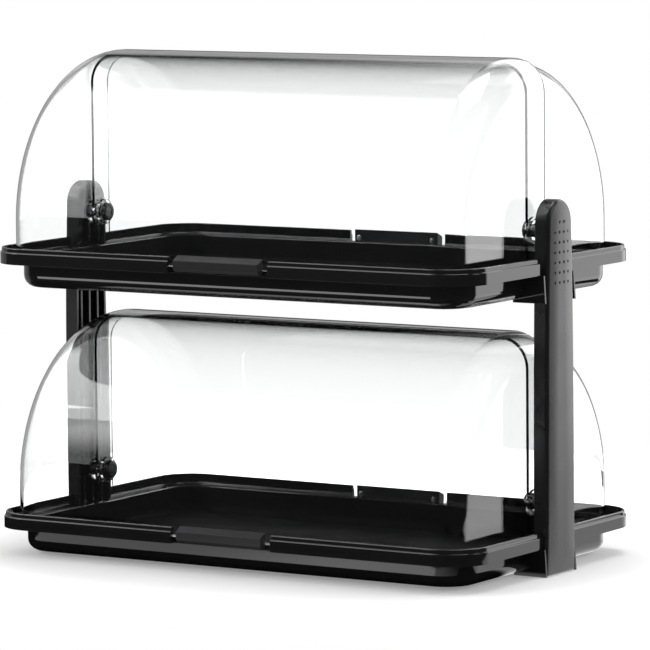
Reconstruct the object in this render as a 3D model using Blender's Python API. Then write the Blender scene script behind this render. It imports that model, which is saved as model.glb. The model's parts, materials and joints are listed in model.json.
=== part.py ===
"""Two-tier countertop bread display bin with roll-top lids.

Metres, +Z up. The origin is on the counter under the middle of the bin, +X runs along the trays
and -Y is the front. Each tier is a moulded tray under two clear lids that turn on a common axis.
"""
import math

import bmesh
import bpy
from mathutils import Matrix, Vector

# Gaps and overruns
SEAT_GAP = 0.0003
RUNNING_GAP = 0.0003
OVERRUN = 0.004
WELD = 0.00001

# Stack of the two tiers
TIER_CLEARANCE = 0.0346
FOOT_STAND = 0.0030
PIVOT_HEIGHT = 0.0654

# Tray moulding, heights measured up from its underside
RIM_LENGTH = 0.5600
RIM_WIDTH = 0.3455
RIM_CORNER = 0.0420
RIM_CREST = 0.0408
RIM_ROUND = 0.0030
RIM_LIP = 0.0035
RIM_SKIRT = 0.0162
LEDGE_DROP = 0.0103
TRAY_WALL = 0.0030
BODY_INSET = 0.0190
BODY_CORNER = 0.0345
BODY_EDGE = 0.0120
CORNER_STEPS = 5
EDGE_STEPS = 2

# Cheek plates and tongue that hold an upright on the tray's end
CHEEK_THICKNESS = 0.0025
CHEEK_BELOW = 0.0026
CHEEK_REACH = 0.0240
CHEEK_LEAN = 0.0016
TONGUE_LIFT = 0.0045
TONGUE_HEIGHT = 0.0140

# Lids
LID_SIDE_INSET = 0.00575
LID_END_INSET = 0.0203
LID_WALL = 0.0030
LID_GAP = 0.0010
LID_SHOULDER = 0.0330
MOUTH_OVERLAP = 0.0150
MOUTH_CORNER = 0.0150
LID_STEPS = 26
SHOULDER_STEPS = 4

# Handles
HANDLE_LENGTH = 0.0990
HANDLE_PROUD = 0.0037
HANDLE_ABOVE_CREST = 0.0017
HANDLE_SLOPE = 0.0049
HANDLE_FACE = 0.0075
HANDLE_UNDERCUT_HEIGHT = 0.0036
HANDLE_UNDERCUT_DEPTH = 0.0030
HANDLE_BEVEL = 0.0008
POCKET_END_GAP = 0.0085
POCKET_BACK_GAP = 0.0008

# Pivots
PIN_RADIUS = 0.0040
PIN_CHAMFER = 0.0005
PIN_SEAT = 0.0110
KNOB_RADIUS = 0.0091
KNOB_THICKNESS = 0.0044
KNOB_ROUND = 0.0012
KNOB_SEAT = 0.0028
WASHER_RADIUS = 0.0090
WASHER_THICKNESS = 0.0040
WASHER_GROOVE = 0.0008
BOSS_RADIUS = 0.0130
OUTER_BOSS = 0.0057
INNER_BOSS = 0.0030
ROUND_STEPS = 16

# Uprights
UPRIGHT_DEPTH = 0.0165
UPRIGHT_WIDTH = 0.0550
UPRIGHT_TOP_RADIUS = 0.0230
UPRIGHT_ABOVE_PIVOT = 0.0315
UPRIGHT_STAND = 0.0004
UPRIGHT_EDGE = 0.0035
UPRIGHT_CROWN = 0.0007
CROWN_INSET = 0.0110
FLANGE = 0.0030
WEB = 0.0030
RIB = 0.0030
RIB_RECESS = 0.0020
RIB_PITCH = 0.0143
RIB_END_ROOM = 0.0140
SHELF = 0.0060
UPRIGHT_BOSS_RADIUS = 0.0095
SIDE_STEPS = 5
TOP_STEPS = 10
TAPER_POWER = 3.2

# Pits on an upright's outer face, in rows counted down from the top
PIT_RADIUS = 0.0012
PIT_DEPTH = 0.0010
PIT_PITCH_ACROSS = 0.0084
PIT_PITCH_DOWN = 0.0098
PIT_TOP_ABOVE_PIVOT = 0.0095
PIT_ROWS = (2, 4, 4, 4, 4, 4, 4)
PIT_STEPS = 5

# Screws and feet
HANDLE_SCREW_RADIUS = 0.0015
HANDLE_SCREW_HEAD_RADIUS = 0.0030
HANDLE_SCREW_HEAD = 0.0016
HANDLE_SCREW_BITE = 0.0055
HANDLE_SCREW_INSET = 0.0075
TIE_SCREW_RADIUS = 0.0020
TIE_SCREW_HEAD_RADIUS = 0.0037
TIE_SCREW_HEAD = 0.0026
TIE_SCREW_BITE = 0.0046
TIE_COUNTERBORE = 0.0060
FOOT_RADIUS = 0.0080
FOOT_RECESS = 0.0010
FOOT_ROUND = 0.0008
FOOT_INSET = 0.0400
SMALL_STEPS = 8

# Places that follow from the sizes above
RIM_X, RIM_Y = RIM_LENGTH / 2, RIM_WIDTH / 2
LID_RADIUS = RIM_Y - LID_SIDE_INSET
LID_HALF_LENGTH = RIM_X - LID_END_INSET
TIER_PITCH = PIVOT_HEIGHT + LID_RADIUS + TIER_CLEARANCE
BODY_X, BODY_Y = RIM_X - BODY_INSET, RIM_Y - BODY_INSET
LEDGE_Z = RIM_CREST - LEDGE_DROP
SKIRT_Z = RIM_CREST - RIM_SKIRT
LID_DEPTH = PIVOT_HEIGHT - LEDGE_Z - SEAT_GAP
INNER_SHIFT = LID_WALL + LID_GAP
INNER_FACE_X = LID_HALF_LENGTH - INNER_SHIFT - LID_WALL
WASHER_X = LID_HALF_LENGTH + OUTER_BOSS + SEAT_GAP
UPRIGHT_X = WASHER_X + WASHER_THICKNESS + SEAT_GAP
UPRIGHT_OUTER_X = UPRIGHT_X + UPRIGHT_DEPTH
KNOB_BACK_X = INNER_FACE_X - INNER_BOSS - SEAT_GAP
UPPER_PIVOT_Z = FOOT_STAND + TIER_PITCH + PIVOT_HEIGHT
UPRIGHT_TOP_Z = UPPER_PIVOT_Z + UPRIGHT_ABOVE_PIVOT
SLOT_HALF_WIDTH = UPRIGHT_WIDTH / 2 + SEAT_GAP
SLOT_X = UPRIGHT_X - SEAT_GAP
TIE_X = (UPRIGHT_X + UPRIGHT_OUTER_X - WEB) / 2
TIERS = {"lower": FOOT_STAND, "upper": FOOT_STAND + TIER_PITCH}
SIDES = {"left": -1, "right": 1}
FACES = {"front": -1, "rear": 1}


def clear_scene():
    """Removes what the file opened with."""
    for item in list(bpy.data.objects):
        bpy.data.objects.remove(item, do_unlink=True)


def finish(name, colour, roughness, metallic=0.0, alpha=1.0):
    """Returns a Principled material."""
    made = bpy.data.materials.new(name)
    made.use_nodes = True
    shader = made.node_tree.nodes["Principled BSDF"]
    shader.inputs["Base Color"].default_value = (*colour, 1)
    shader.inputs["Roughness"].default_value = roughness
    shader.inputs["Metallic"].default_value = metallic
    shader.inputs["Alpha"].default_value = alpha
    return made


def mesh_of(work, name):
    """Turns a bmesh into a mesh whose faces point out."""
    bmesh.ops.recalc_face_normals(work, faces=work.faces[:])
    made = bpy.data.meshes.new(name)
    work.to_mesh(made)
    work.free()
    return made


def place(name, mesh, look=None, at=(0, 0, 0), turn=(0, 0, 0)):
    """Puts a mesh in the scene as a named object."""
    item = bpy.data.objects.new(name, mesh)
    bpy.context.scene.collection.objects.link(item)
    item.location = at
    item.rotation_euler = turn
    if look is not None:
        mesh.materials.clear()
        mesh.materials.append(look)
    return item


def smooth(item, angle=math.radians(32)):
    """Shades a round piece smooth and keeps its sharp edges."""
    item.data.shade_smooth()
    item.data.set_sharp_from_angle(angle=angle)


def combine(item, tool, operation):
    """Applies one Boolean to an object's mesh and removes the tool."""
    step = item.modifiers.new("step", "BOOLEAN")
    step.operation = operation
    step.solver = "EXACT"
    step.object = tool
    bpy.context.view_layer.update()
    graph = bpy.context.evaluated_depsgraph_get()
    made = bpy.data.meshes.new_from_object(item.evaluated_get(graph))
    work = bmesh.new()
    work.from_mesh(made)
    bmesh.ops.remove_doubles(work, verts=work.verts[:], dist=WELD)
    bmesh.ops.dissolve_degenerate(work, edges=work.edges[:], dist=WELD)
    work.to_mesh(made)
    work.free()
    item.modifiers.remove(step)
    item.data = made
    bpy.data.objects.remove(tool, do_unlink=True)


def add(item, tool):
    """Joins a tool's solid to an object."""
    combine(item, tool, "UNION")


def cut(item, tool):
    """Takes a tool's solid out of an object."""
    combine(item, tool, "DIFFERENCE")


def box(low, high):
    """Returns a block between two corners."""
    work = bmesh.new()
    bmesh.ops.create_cube(work, size=1.0)
    low, high = Vector(low), Vector(high)
    for vert in work.verts:
        vert.co = Vector([low[i] if vert.co[i] < 0 else high[i] for i in range(3)])
    return place("block", mesh_of(work, "block"))


def prism(outline, low, high, axis):
    """Extrudes an outline along X, Y or Z. Its points are the other two coordinates, in order."""
    work = bmesh.new()
    rings = []
    for level in (low, high):
        points = [list(point) for point in outline]
        for point in points:
            point.insert("XYZ".index(axis), level)
        rings.append([work.verts.new(point) for point in points])
    bridge(work, rings[0], rings[1])
    work.faces.new(rings[0])
    work.faces.new(rings[1])
    return place("prism", mesh_of(work, "prism"))


def bridge(work, first, second):
    """Joins two closed rings of vertices with quads."""
    for i, vert in enumerate(first):
        after = (i + 1) % len(first)
        work.faces.new((vert, first[after], second[after], second[i]))


def loft(rings):
    """Closes a solid through rings of equal count, capped at both ends."""
    work = bmesh.new()
    loops = [[work.verts.new(point) for point in ring] for ring in rings]
    for first, second in zip(loops, loops[1:]):
        bridge(work, first, second)
    work.faces.new(loops[0])
    work.faces.new(loops[-1])
    return place("loft", mesh_of(work, "loft"))


def turned(profile, steps, ring=False):
    """Turns (x, radius) points about X: a closed ring, or a solid whose ends lie on the axis."""
    work = bmesh.new()
    loops = []
    for x, radius in profile:
        count = steps if radius > 0 else 1
        angles = [math.tau * i / steps for i in range(count)]
        loops.append([work.verts.new((x, radius * math.cos(a), radius * math.sin(a))) for a in angles])
    pairs = list(zip(loops, loops[1:]))
    if ring:
        pairs.append((loops[-1], loops[0]))
    for first, second in pairs:
        if len(first) > 1 and len(second) > 1:
            bridge(work, first, second)
        else:
            pole, loop = (first[0], second) if len(first) == 1 else (second[0], first)
            for i, vert in enumerate(loop):
                work.faces.new((pole, vert, loop[(i + 1) % len(loop)]))
    return place("turned", mesh_of(work, "turned"))


def point_along(item, at, direction):
    """Bakes a move into a turned piece, so that its X axis starts at a point along a direction."""
    spin = Vector(direction).to_track_quat("X", "Z").to_matrix().to_4x4()
    item.data.transform(Matrix.Translation(at) @ spin)
    return item


def rod(start, direction, length, radius, steps=SMALL_STEPS):
    """Returns a plain round bar."""
    bar = turned([(0, 0), (0, radius), (length, radius), (length, 0)], steps)
    return point_along(bar, start, direction)


def quarter(steps):
    """Yields the sine and cosine at each step of a quarter turn."""
    for i in range(steps + 1):
        angle = math.pi / 2 * i / steps
        yield math.sin(angle), math.cos(angle)


def rounded_rectangle(inset_from_rim, corner, z):
    """Returns a ring of the tray: the rim's rectangle drawn in by an inset."""
    half_x, half_y = RIM_X - inset_from_rim, RIM_Y - inset_from_rim
    points = []
    for quadrant, (sx, sy) in enumerate(((1, 1), (-1, 1), (-1, -1), (1, -1))):
        for i in range(CORNER_STEPS + 1):
            angle = math.pi / 2 * (quadrant + i / CORNER_STEPS)
            x = sx * (half_x - corner) + corner * math.cos(angle)
            y = sy * (half_y - corner) + corner * math.sin(angle)
            points.append((x, y, z))
    return points


def tray_rings():
    """Lists the tray's rings from the underside, round the rim and down to the floor."""
    rings = []
    for sine, cosine in quarter(EDGE_STEPS):
        draw = BODY_EDGE * (1 - sine)
        rings.append((BODY_INSET + draw, BODY_CORNER - draw, BODY_EDGE * (1 - cosine)))
    rings.append((BODY_INSET, BODY_CORNER, LEDGE_Z - TRAY_WALL))
    rings.append((TRAY_WALL, RIM_CORNER - TRAY_WALL, LEDGE_Z - TRAY_WALL))
    rings.append((TRAY_WALL, RIM_CORNER - TRAY_WALL, SKIRT_Z))
    rings.append((0, RIM_CORNER, SKIRT_Z))
    for sine, cosine in quarter(EDGE_STEPS):
        draw = RIM_ROUND * (1 - cosine)
        rings.append((draw, RIM_CORNER - draw, RIM_CREST - RIM_ROUND * (1 - sine)))
    rings.append((RIM_LIP, RIM_CORNER - RIM_LIP, RIM_CREST))
    rings.append((RIM_LIP, RIM_CORNER - RIM_LIP, LEDGE_Z))
    inner, corner, edge = BODY_INSET + TRAY_WALL, BODY_CORNER - TRAY_WALL, BODY_EDGE - TRAY_WALL
    rings.append((inner, corner, LEDGE_Z))
    for sine, cosine in quarter(EDGE_STEPS):
        draw = edge * (1 - cosine)
        rings.append((inner + draw, corner - draw, TRAY_WALL + edge * (1 - sine)))
    return [rounded_rectangle(*ring) for ring in rings]


def lid_radius(face):
    """Returns the outer radius of the front (outer) or rear (inner) lid."""
    return LID_RADIUS if face == "front" else LID_RADIUS - INNER_SHIFT


def pocket_y(face):
    """Returns the back of a handle pocket, just behind the lid's lower edge."""
    return lid_radius(face) - POCKET_BACK_GAP


def add_handle_pocket(tray, face):
    """Sinks a walled pocket for the handle into the front or rear rim."""
    sign = FACES[face]
    back, half = pocket_y(face), HANDLE_LENGTH / 2 + POCKET_END_GAP
    near, far = sign * (back - TRAY_WALL), sign * (RIM_Y - TRAY_WALL / 2)
    add(tray, box((-half - TRAY_WALL, min(near, far), SKIRT_Z),
                  (half + TRAY_WALL, max(near, far), LEDGE_Z - TRAY_WALL / 2)))
    near, far = sign * back, sign * (RIM_Y + OVERRUN)
    cut(tray, box((-half, min(near, far), SKIRT_Z - OVERRUN),
                  (half, max(near, far), RIM_CREST + OVERRUN)))


def cheek_outline():
    """Returns a cheek plate's outline in X and Z: it hugs the body's rounded bottom edge."""
    under, middle = LEDGE_Z - TRAY_WALL / 2, BODY_EDGE - TRAY_WALL / 2
    points = [(BODY_X - BODY_EDGE, -CHEEK_BELOW), (BODY_X + CHEEK_REACH, -CHEEK_BELOW),
              (BODY_X + CHEEK_REACH - CHEEK_LEAN, SKIRT_Z), (RIM_X - TRAY_WALL / 2, SKIRT_Z),
              (RIM_X - TRAY_WALL / 2, under), (BODY_X - TRAY_WALL / 2, under)]
    for sine, cosine in quarter(EDGE_STEPS):
        points.append((BODY_X - BODY_EDGE + middle * cosine, BODY_EDGE - middle * sine))
    return points


def add_upright_socket(tray, side):
    """Adds the slot, cheek plates and tongue that take an upright at one end of the tray."""
    sign = SIDES[side]
    root = BODY_X - TRAY_WALL / 2
    wall = (sign * (SLOT_X - TRAY_WALL), sign * SLOT_X)
    add(tray, box((min(wall), -SLOT_HALF_WIDTH - CHEEK_THICKNESS / 2, SKIRT_Z),
                  (max(wall), SLOT_HALF_WIDTH + CHEEK_THICKNESS / 2, LEDGE_Z - TRAY_WALL / 2)))
    outline = [(sign * x, z) for x, z in cheek_outline()]
    for y in (-SLOT_HALF_WIDTH - CHEEK_THICKNESS, SLOT_HALF_WIDTH):
        add(tray, prism(outline, y, y + CHEEK_THICKNESS, "Y"))
    slot = (sign * SLOT_X, sign * (RIM_X + OVERRUN))
    cut(tray, box((min(slot), -SLOT_HALF_WIDTH, SKIRT_Z - OVERRUN),
                  (max(slot), SLOT_HALF_WIDTH, RIM_CREST + OVERRUN)))
    half = UPRIGHT_TOP_RADIUS - FLANGE - UPRIGHT_EDGE - SEAT_GAP
    tongue = (sign * root, sign * (UPRIGHT_OUTER_X - WEB - SEAT_GAP))
    add(tray, box((min(tongue), -half, TONGUE_LIFT),
                  (max(tongue), half, TONGUE_LIFT + TONGUE_HEIGHT)))


def cut_tie_hole(tray, tier, side):
    """Bores a tray's tongue for the screw that ties it to the upright."""
    x, hole = SIDES[side] * TIE_X, TIE_SCREW_RADIUS + RUNNING_GAP
    top = TONGUE_LIFT + TONGUE_HEIGHT
    if tier == "lower":
        cut(tray, rod((x, 0, -OVERRUN), (0, 0, 1), top + OVERRUN * 2, hole))
        head = TIE_SCREW_HEAD_RADIUS + RUNNING_GAP
        cut(tray, rod((x, 0, -OVERRUN), (0, 0, 1), OVERRUN + TONGUE_LIFT + TIE_COUNTERBORE, head))
    else:
        depth = tie_length() - SHELF + SEAT_GAP
        cut(tray, rod((x, 0, -OVERRUN), (0, 0, 1), OVERRUN + TONGUE_LIFT + depth, hole))


def tie_length():
    """Returns the tie screw's shank: through the tongue's web and into the shelf."""
    return TONGUE_HEIGHT - TIE_COUNTERBORE + SEAT_GAP + TIE_SCREW_BITE


def foot_places():
    """Yields the name and place of each foot under the lower tray."""
    x, y = BODY_X - FOOT_INSET, BODY_Y - FOOT_INSET
    for face, sy in FACES.items():
        for side, sx in SIDES.items():
            yield f"{face}_{side}_foot", sx * x, sy * y


def make_tray(tier, look):
    """Makes one tray."""
    tray = loft(tray_rings())
    tray.name = f"{tier}_tray"
    for face in FACES:
        add_handle_pocket(tray, face)
    for side in SIDES:
        add_upright_socket(tray, side)
        cut_tie_hole(tray, tier, side)
    for _, x, y in foot_places():
        hole = FOOT_RADIUS + SEAT_GAP
        cut(tray, rod((x, y, -OVERRUN), (0, 0, 1), OVERRUN + FOOT_RECESS, hole, ROUND_STEPS))
    tray.data.materials.clear()
    tray.data.materials.append(look)
    tray.location.z = TIERS[tier]
    smooth(tray)


def drum(half_length, radius, shoulder, depth):
    """Returns a lid's full form: a half drum with rounded ends over straight sides."""
    profile = []
    for sine, cosine in quarter(SHOULDER_STEPS):
        profile.append((-half_length + shoulder * (1 - cosine), radius - shoulder * (1 - sine)))
    for sine, cosine in quarter(SHOULDER_STEPS):
        profile.append((half_length - shoulder * (1 - sine), radius - shoulder * (1 - cosine)))
    rings = []
    for x, reach in profile:
        ring = [(x, reach, -depth)]
        for i in range(LID_STEPS + 1):
            angle = math.pi * i / LID_STEPS
            ring.append((x, reach * math.cos(angle), reach * math.sin(angle)))
        rings.append(ring + [(x, -reach, -depth)])
    return loft(rings)


def lid_outline(sign):
    """Returns a lid's side outline: open at the mouth past the pivot, rounded below it."""
    far = LID_RADIUS + OVERRUN
    points = [(MOUTH_OVERLAP, far)]
    for sine, cosine in quarter(SHOULDER_STEPS):
        y = MOUTH_OVERLAP - MOUTH_CORNER * (1 - cosine)
        points.append((y, -LID_DEPTH + MOUTH_CORNER * (1 - sine)))
    points += [(-far, -LID_DEPTH), (-far, far)]
    return [(-sign * y, z) for y, z in points]


def screw_point(face, x, reach):
    """Returns a point on a handle screw's centre line, from the pivot axis."""
    middle = handle_top() - HANDLE_SLOPE - HANDLE_FACE / 2
    return Vector((x, FACES[face] * reach, middle - PIVOT_HEIGHT))


def screw_places(face):
    """Yields the X place of each handle screw, with the side it is on."""
    for side, sign in SIDES.items():
        yield side, sign * (HANDLE_LENGTH / 2 - HANDLE_SCREW_INSET)


def make_lid(tier, face, look):
    """Makes one clear lid, with its origin on the pivot axis."""
    inner = face == "rear"
    shift = INNER_SHIFT if inner else 0
    half, radius, shoulder = LID_HALF_LENGTH - shift, LID_RADIUS - shift, LID_SHOULDER - shift
    lid = drum(half, radius, shoulder, LID_DEPTH + OVERRUN)
    far = half + OVERRUN
    combine(lid, prism(lid_outline(FACES[face]), -far, far, "X"), "INTERSECT")
    inside = (half - LID_WALL, radius - LID_WALL, shoulder - LID_WALL)
    cut(lid, drum(*inside, LID_DEPTH + OVERRUN * 2))
    boss = INNER_BOSS if inner else OUTER_BOSS
    for sign in SIDES.values():
        start = half - LID_WALL - boss if inner else half - LID_WALL / 2
        length = boss + LID_WALL / 2
        add(lid, rod((sign * start, 0, 0), (sign, 0, 0), length, BOSS_RADIUS, ROUND_STEPS))
        hole = PIN_RADIUS + RUNNING_GAP
        start = half - LID_WALL - boss - OVERRUN
        length = LID_WALL + boss * 2 + OVERRUN * 2
        cut(lid, rod((sign * start, 0, 0), (sign, 0, 0), length, hole, ROUND_STEPS))
    for _, x in screw_places(face):
        start = screw_point(face, x, radius - LID_WALL - OVERRUN)
        length = LID_WALL + OVERRUN * 2
        cut(lid, rod(start, (0, FACES[face], 0), length, HANDLE_SCREW_RADIUS + RUNNING_GAP))
    lid.name = f"{tier}_{face}_lid"
    lid.data.materials.clear()
    lid.data.materials.append(look)
    lid.location.z = TIERS[tier] + PIVOT_HEIGHT
    smooth(lid)


def handle_top():
    """Returns the height of a handle's back edge above the tray's underside."""
    return RIM_CREST + HANDLE_ABOVE_CREST


def handle_outline(face):
    """Returns a handle's section in Y and Z, from the pivot axis."""
    sign = FACES[face]
    front = RIM_Y + HANDLE_PROUD
    top = handle_top()
    brow = top - HANDLE_SLOPE
    chin = brow - HANDLE_FACE
    bottom = chin - HANDLE_UNDERCUT_HEIGHT
    back = lid_radius(face) + SEAT_GAP
    points = ((back, top), (front, brow), (front, chin), (front - HANDLE_UNDERCUT_DEPTH, bottom),
              (back, bottom))
    return [(sign * y, z - PIVOT_HEIGHT) for y, z in points]


def make_handle(tier, face, look):
    """Makes one grip on a lid's lower edge, with its origin on the pivot axis."""
    handle = prism(handle_outline(face), -HANDLE_LENGTH / 2, HANDLE_LENGTH / 2, "X")
    handle.name = f"{tier}_{face}_handle"
    work = bmesh.new()
    work.from_mesh(handle.data)
    outer = [edge for edge in work.edges if all(abs(v.co.y) > lid_radius(face) for v in edge.verts)]
    bmesh.ops.bevel(work, geom=outer, offset=HANDLE_BEVEL, segments=2, affect="EDGES", profile=1 / 2)
    work.to_mesh(handle.data)
    work.free()
    for _, x in screw_places(face):
        start = screw_point(face, x, lid_radius(face))
        length = HANDLE_SCREW_BITE + SEAT_GAP
        cut(handle, rod(start, (0, FACES[face], 0), length, HANDLE_SCREW_RADIUS + RUNNING_GAP))
    handle.data.materials.clear()
    handle.data.materials.append(look)
    handle.location.z = TIERS[tier] + PIVOT_HEIGHT
    smooth(handle)


def screw_mesh(radius, length, head_radius, head):
    """Returns a screw along X: its head ends at zero and its shank runs on from there."""
    edge = head / 4
    profile = [(-head, 0), (-head, head_radius - edge), (-head + edge, head_radius), (0, head_radius),
               (0, radius), (length - radius / 2, radius), (length, radius / 2), (length, 0)]
    return turned(profile, SMALL_STEPS)


def make_handle_screws(tier, face, look):
    """Makes the two screws that hold a handle to its lid from inside."""
    for side, x in screw_places(face):
        length = LID_WALL + SEAT_GAP + HANDLE_SCREW_BITE
        screw = screw_mesh(HANDLE_SCREW_RADIUS, length, HANDLE_SCREW_HEAD_RADIUS, HANDLE_SCREW_HEAD)
        start = screw_point(face, x, lid_radius(face) - LID_WALL - SEAT_GAP)
        point_along(screw, start, (0, FACES[face], 0))
        finish_piece(screw, f"{tier}_{face}_{side}_handle_screw", look, TIERS[tier] + PIVOT_HEIGHT)


def finish_piece(item, name, look, z=0):
    """Names, colours, lifts and smooths a small round piece."""
    item.name = name
    item.data.materials.append(look)
    item.location.z = z
    smooth(item)


def make_pivot(tier, side, black, steel):
    """Makes the pin, washer and knob at one end of a tier's axis."""
    sign, z = SIDES[side], TIERS[tier] + PIVOT_HEIGHT
    start, end = KNOB_BACK_X - KNOB_SEAT, UPRIGHT_X + PIN_SEAT
    pin = turned([(start, 0), (start, PIN_RADIUS - PIN_CHAMFER), (start + PIN_CHAMFER, PIN_RADIUS),
                  (end - PIN_CHAMFER, PIN_RADIUS), (end, PIN_RADIUS - PIN_CHAMFER), (end, 0)], ROUND_STEPS)
    hole = PIN_RADIUS + RUNNING_GAP
    middle = WASHER_X + WASHER_THICKNESS / 2
    washer = turned([(WASHER_X, hole), (WASHER_X, WASHER_RADIUS), (middle - WASHER_GROOVE, WASHER_RADIUS),
                     (middle, WASHER_RADIUS - WASHER_GROOVE), (middle + WASHER_GROOVE, WASHER_RADIUS),
                     (WASHER_X + WASHER_THICKNESS, WASHER_RADIUS), (WASHER_X + WASHER_THICKNESS, hole)],
                    ROUND_STEPS, ring=True)
    face = KNOB_BACK_X - KNOB_THICKNESS
    seat = KNOB_BACK_X - KNOB_SEAT - SEAT_GAP
    knob = turned([(face, 0), (face, KNOB_RADIUS - KNOB_ROUND), (face + KNOB_ROUND, KNOB_RADIUS),
                   (KNOB_BACK_X, KNOB_RADIUS), (KNOB_BACK_X, hole), (seat, hole), (seat, 0)], ROUND_STEPS)
    for item, word, look in ((pin, "pin", steel), (washer, "washer", black), (knob, "knob", black)):
        if sign < 0:
            item.data.transform(Matrix.Rotation(math.pi, 4, "Z"))
        finish_piece(item, f"{tier}_{side}_pivot_{word}", look, z)


def arch(inset, x):
    """Returns an upright's outline at one X, drawn in by an inset: tapered sides and a round top."""
    centre = UPRIGHT_TOP_Z - UPRIGHT_TOP_RADIUS
    bottom = UPRIGHT_STAND + inset
    widest, narrowest = UPRIGHT_WIDTH / 2, UPRIGHT_TOP_RADIUS
    right = []
    for i in range(SIDE_STEPS):
        z = bottom + (centre - bottom) * i / SIDE_STEPS
        half = widest - (widest - narrowest) * (z / centre) ** TAPER_POWER - inset
        right.append((x, half, z))
    top = []
    for i in range(TOP_STEPS + 1):
        angle = math.pi * i / TOP_STEPS
        radius = UPRIGHT_TOP_RADIUS - inset
        top.append((x, radius * math.cos(angle), centre + radius * math.sin(angle)))
    left = [(x, -y, z) for x, y, z in reversed(right)]
    return right + top + left


def upright_shell():
    """Returns the right upright's channel: a crowned face with rounded edges, hollow from inside."""
    crown_x = UPRIGHT_OUTER_X - UPRIGHT_CROWN
    rings = [arch(0, UPRIGHT_X)]
    for sine, cosine in quarter(EDGE_STEPS):
        rings.append(arch(UPRIGHT_EDGE * (1 - cosine), crown_x - UPRIGHT_EDGE * (1 - sine)))
    rings.append(arch(CROWN_INSET, UPRIGHT_OUTER_X))
    shell = loft(rings)
    hollow = loft([arch(FLANGE, UPRIGHT_X - OVERRUN), arch(FLANGE, UPRIGHT_OUTER_X - WEB - UPRIGHT_EDGE),
                   arch(FLANGE + UPRIGHT_EDGE, UPRIGHT_OUTER_X - WEB)])
    cut(shell, hollow)
    return shell


def shelf_heights(tier):
    """Returns the bottom and top of the shelf that meets a tier's tongue."""
    tongue = TIERS[tier] + TONGUE_LIFT
    if tier == "lower":
        low = tongue + TONGUE_HEIGHT + SEAT_GAP
        return low, low + SHELF
    return tongue - SEAT_GAP - SHELF, tongue - SEAT_GAP


def add_ribs(shell):
    """Adds the shelves and the vertical ribs inside the channel."""
    web = UPRIGHT_OUTER_X - WEB / 2
    for tier in TIERS:
        low, high = shelf_heights(tier)
        half = arch_half_width(high) - FLANGE / 2
        add(shell, box((UPRIGHT_X + RIB_RECESS, -half, low), (web, half, high)))
    spans = ((shelf_heights("lower")[1] - SHELF / 2, shelf_heights("upper")[0] - RIB_END_ROOM),
             (TIERS["upper"] + RIM_CREST, UPRIGHT_TOP_Z - UPRIGHT_TOP_RADIUS))
    for low, high in spans:
        for step in (-1, 0, 1):
            y = step * RIB_PITCH
            add(shell, box((UPRIGHT_X + RIB_RECESS, y - RIB / 2, low), (web, y + RIB / 2, high)))


def arch_half_width(z):
    """Returns an upright's half width at a height."""
    centre = UPRIGHT_TOP_Z - UPRIGHT_TOP_RADIUS
    widest, narrowest = UPRIGHT_WIDTH / 2, UPRIGHT_TOP_RADIUS
    return widest - (widest - narrowest) * (z / centre) ** TAPER_POWER


def pit_cutter():
    """Returns one tool with a small bar for each pit on the outer face."""
    work = bmesh.new()
    for row, count in enumerate(PIT_ROWS):
        z = UPPER_PIVOT_Z + PIT_TOP_ABOVE_PIVOT - row * PIT_PITCH_DOWN
        for i in range(count):
            y = (i - (count - 1) / 2) * PIT_PITCH_ACROSS
            x = UPRIGHT_OUTER_X - UPRIGHT_CROWN - PIT_DEPTH + OVERRUN / 2
            spot = Matrix.Translation((x, y, z)) @ Matrix.Rotation(math.pi / 2, 4, "Y")
            bmesh.ops.create_cone(work, cap_ends=True, segments=PIT_STEPS, radius1=PIT_RADIUS,
                                  radius2=PIT_RADIUS, depth=OVERRUN, matrix=spot)
    return place("pits", mesh_of(work, "pits"))


def make_uprights(look):
    """Makes the right upright and mirrors it to the left."""
    shell = upright_shell()
    add_ribs(shell)
    web = UPRIGHT_OUTER_X - WEB / 2
    heights = [base + PIVOT_HEIGHT for base in TIERS.values()]
    for z in heights:
        add(shell, rod((UPRIGHT_X, 0, z), (1, 0, 0), web - UPRIGHT_X, UPRIGHT_BOSS_RADIUS, ROUND_STEPS))
    for z in heights:
        depth = OVERRUN + PIN_SEAT + SEAT_GAP
        hole = PIN_RADIUS + RUNNING_GAP
        cut(shell, rod((UPRIGHT_X - OVERRUN, 0, z), (1, 0, 0), depth, hole, ROUND_STEPS))
    reach = UPRIGHT_STAND + FLANGE + OVERRUN
    cut(shell, rod((TIE_X, 0, -OVERRUN), (0, 0, 1), OVERRUN + reach, TIE_SCREW_HEAD_RADIUS + RUNNING_GAP))
    for tier in TIERS:
        low = shelf_heights(tier)[0]
        depth = OVERRUN + (TIE_SCREW_BITE + SEAT_GAP if tier == "lower" else SHELF + OVERRUN)
        cut(shell, rod((TIE_X, 0, low - OVERRUN), (0, 0, 1), depth, TIE_SCREW_RADIUS + RUNNING_GAP))
    cut(shell, pit_cutter())
    for side, sign in SIDES.items():
        mesh = shell.data.copy()
        if sign < 0:
            mesh.transform(Matrix.Scale(-1, 4, (1, 0, 0)))
            mesh.flip_normals()
        smooth(place(f"{side}_upright", mesh, look))
    bpy.data.objects.remove(shell, do_unlink=True)


def make_tie_screws(look):
    """Makes the screws that tie the uprights to the trays, heads down."""
    for tier in TIERS:
        for side, sign in SIDES.items():
            screw = screw_mesh(TIE_SCREW_RADIUS, tie_length(), TIE_SCREW_HEAD_RADIUS, TIE_SCREW_HEAD)
            seat = TIERS[tier] + TONGUE_LIFT + TIE_COUNTERBORE
            if tier == "upper":
                seat = shelf_heights(tier)[0]
            point_along(screw, (sign * TIE_X, 0, seat - SEAT_GAP), (0, 0, 1))
            finish_piece(screw, f"{tier}_{side}_tie_screw", look)


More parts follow.
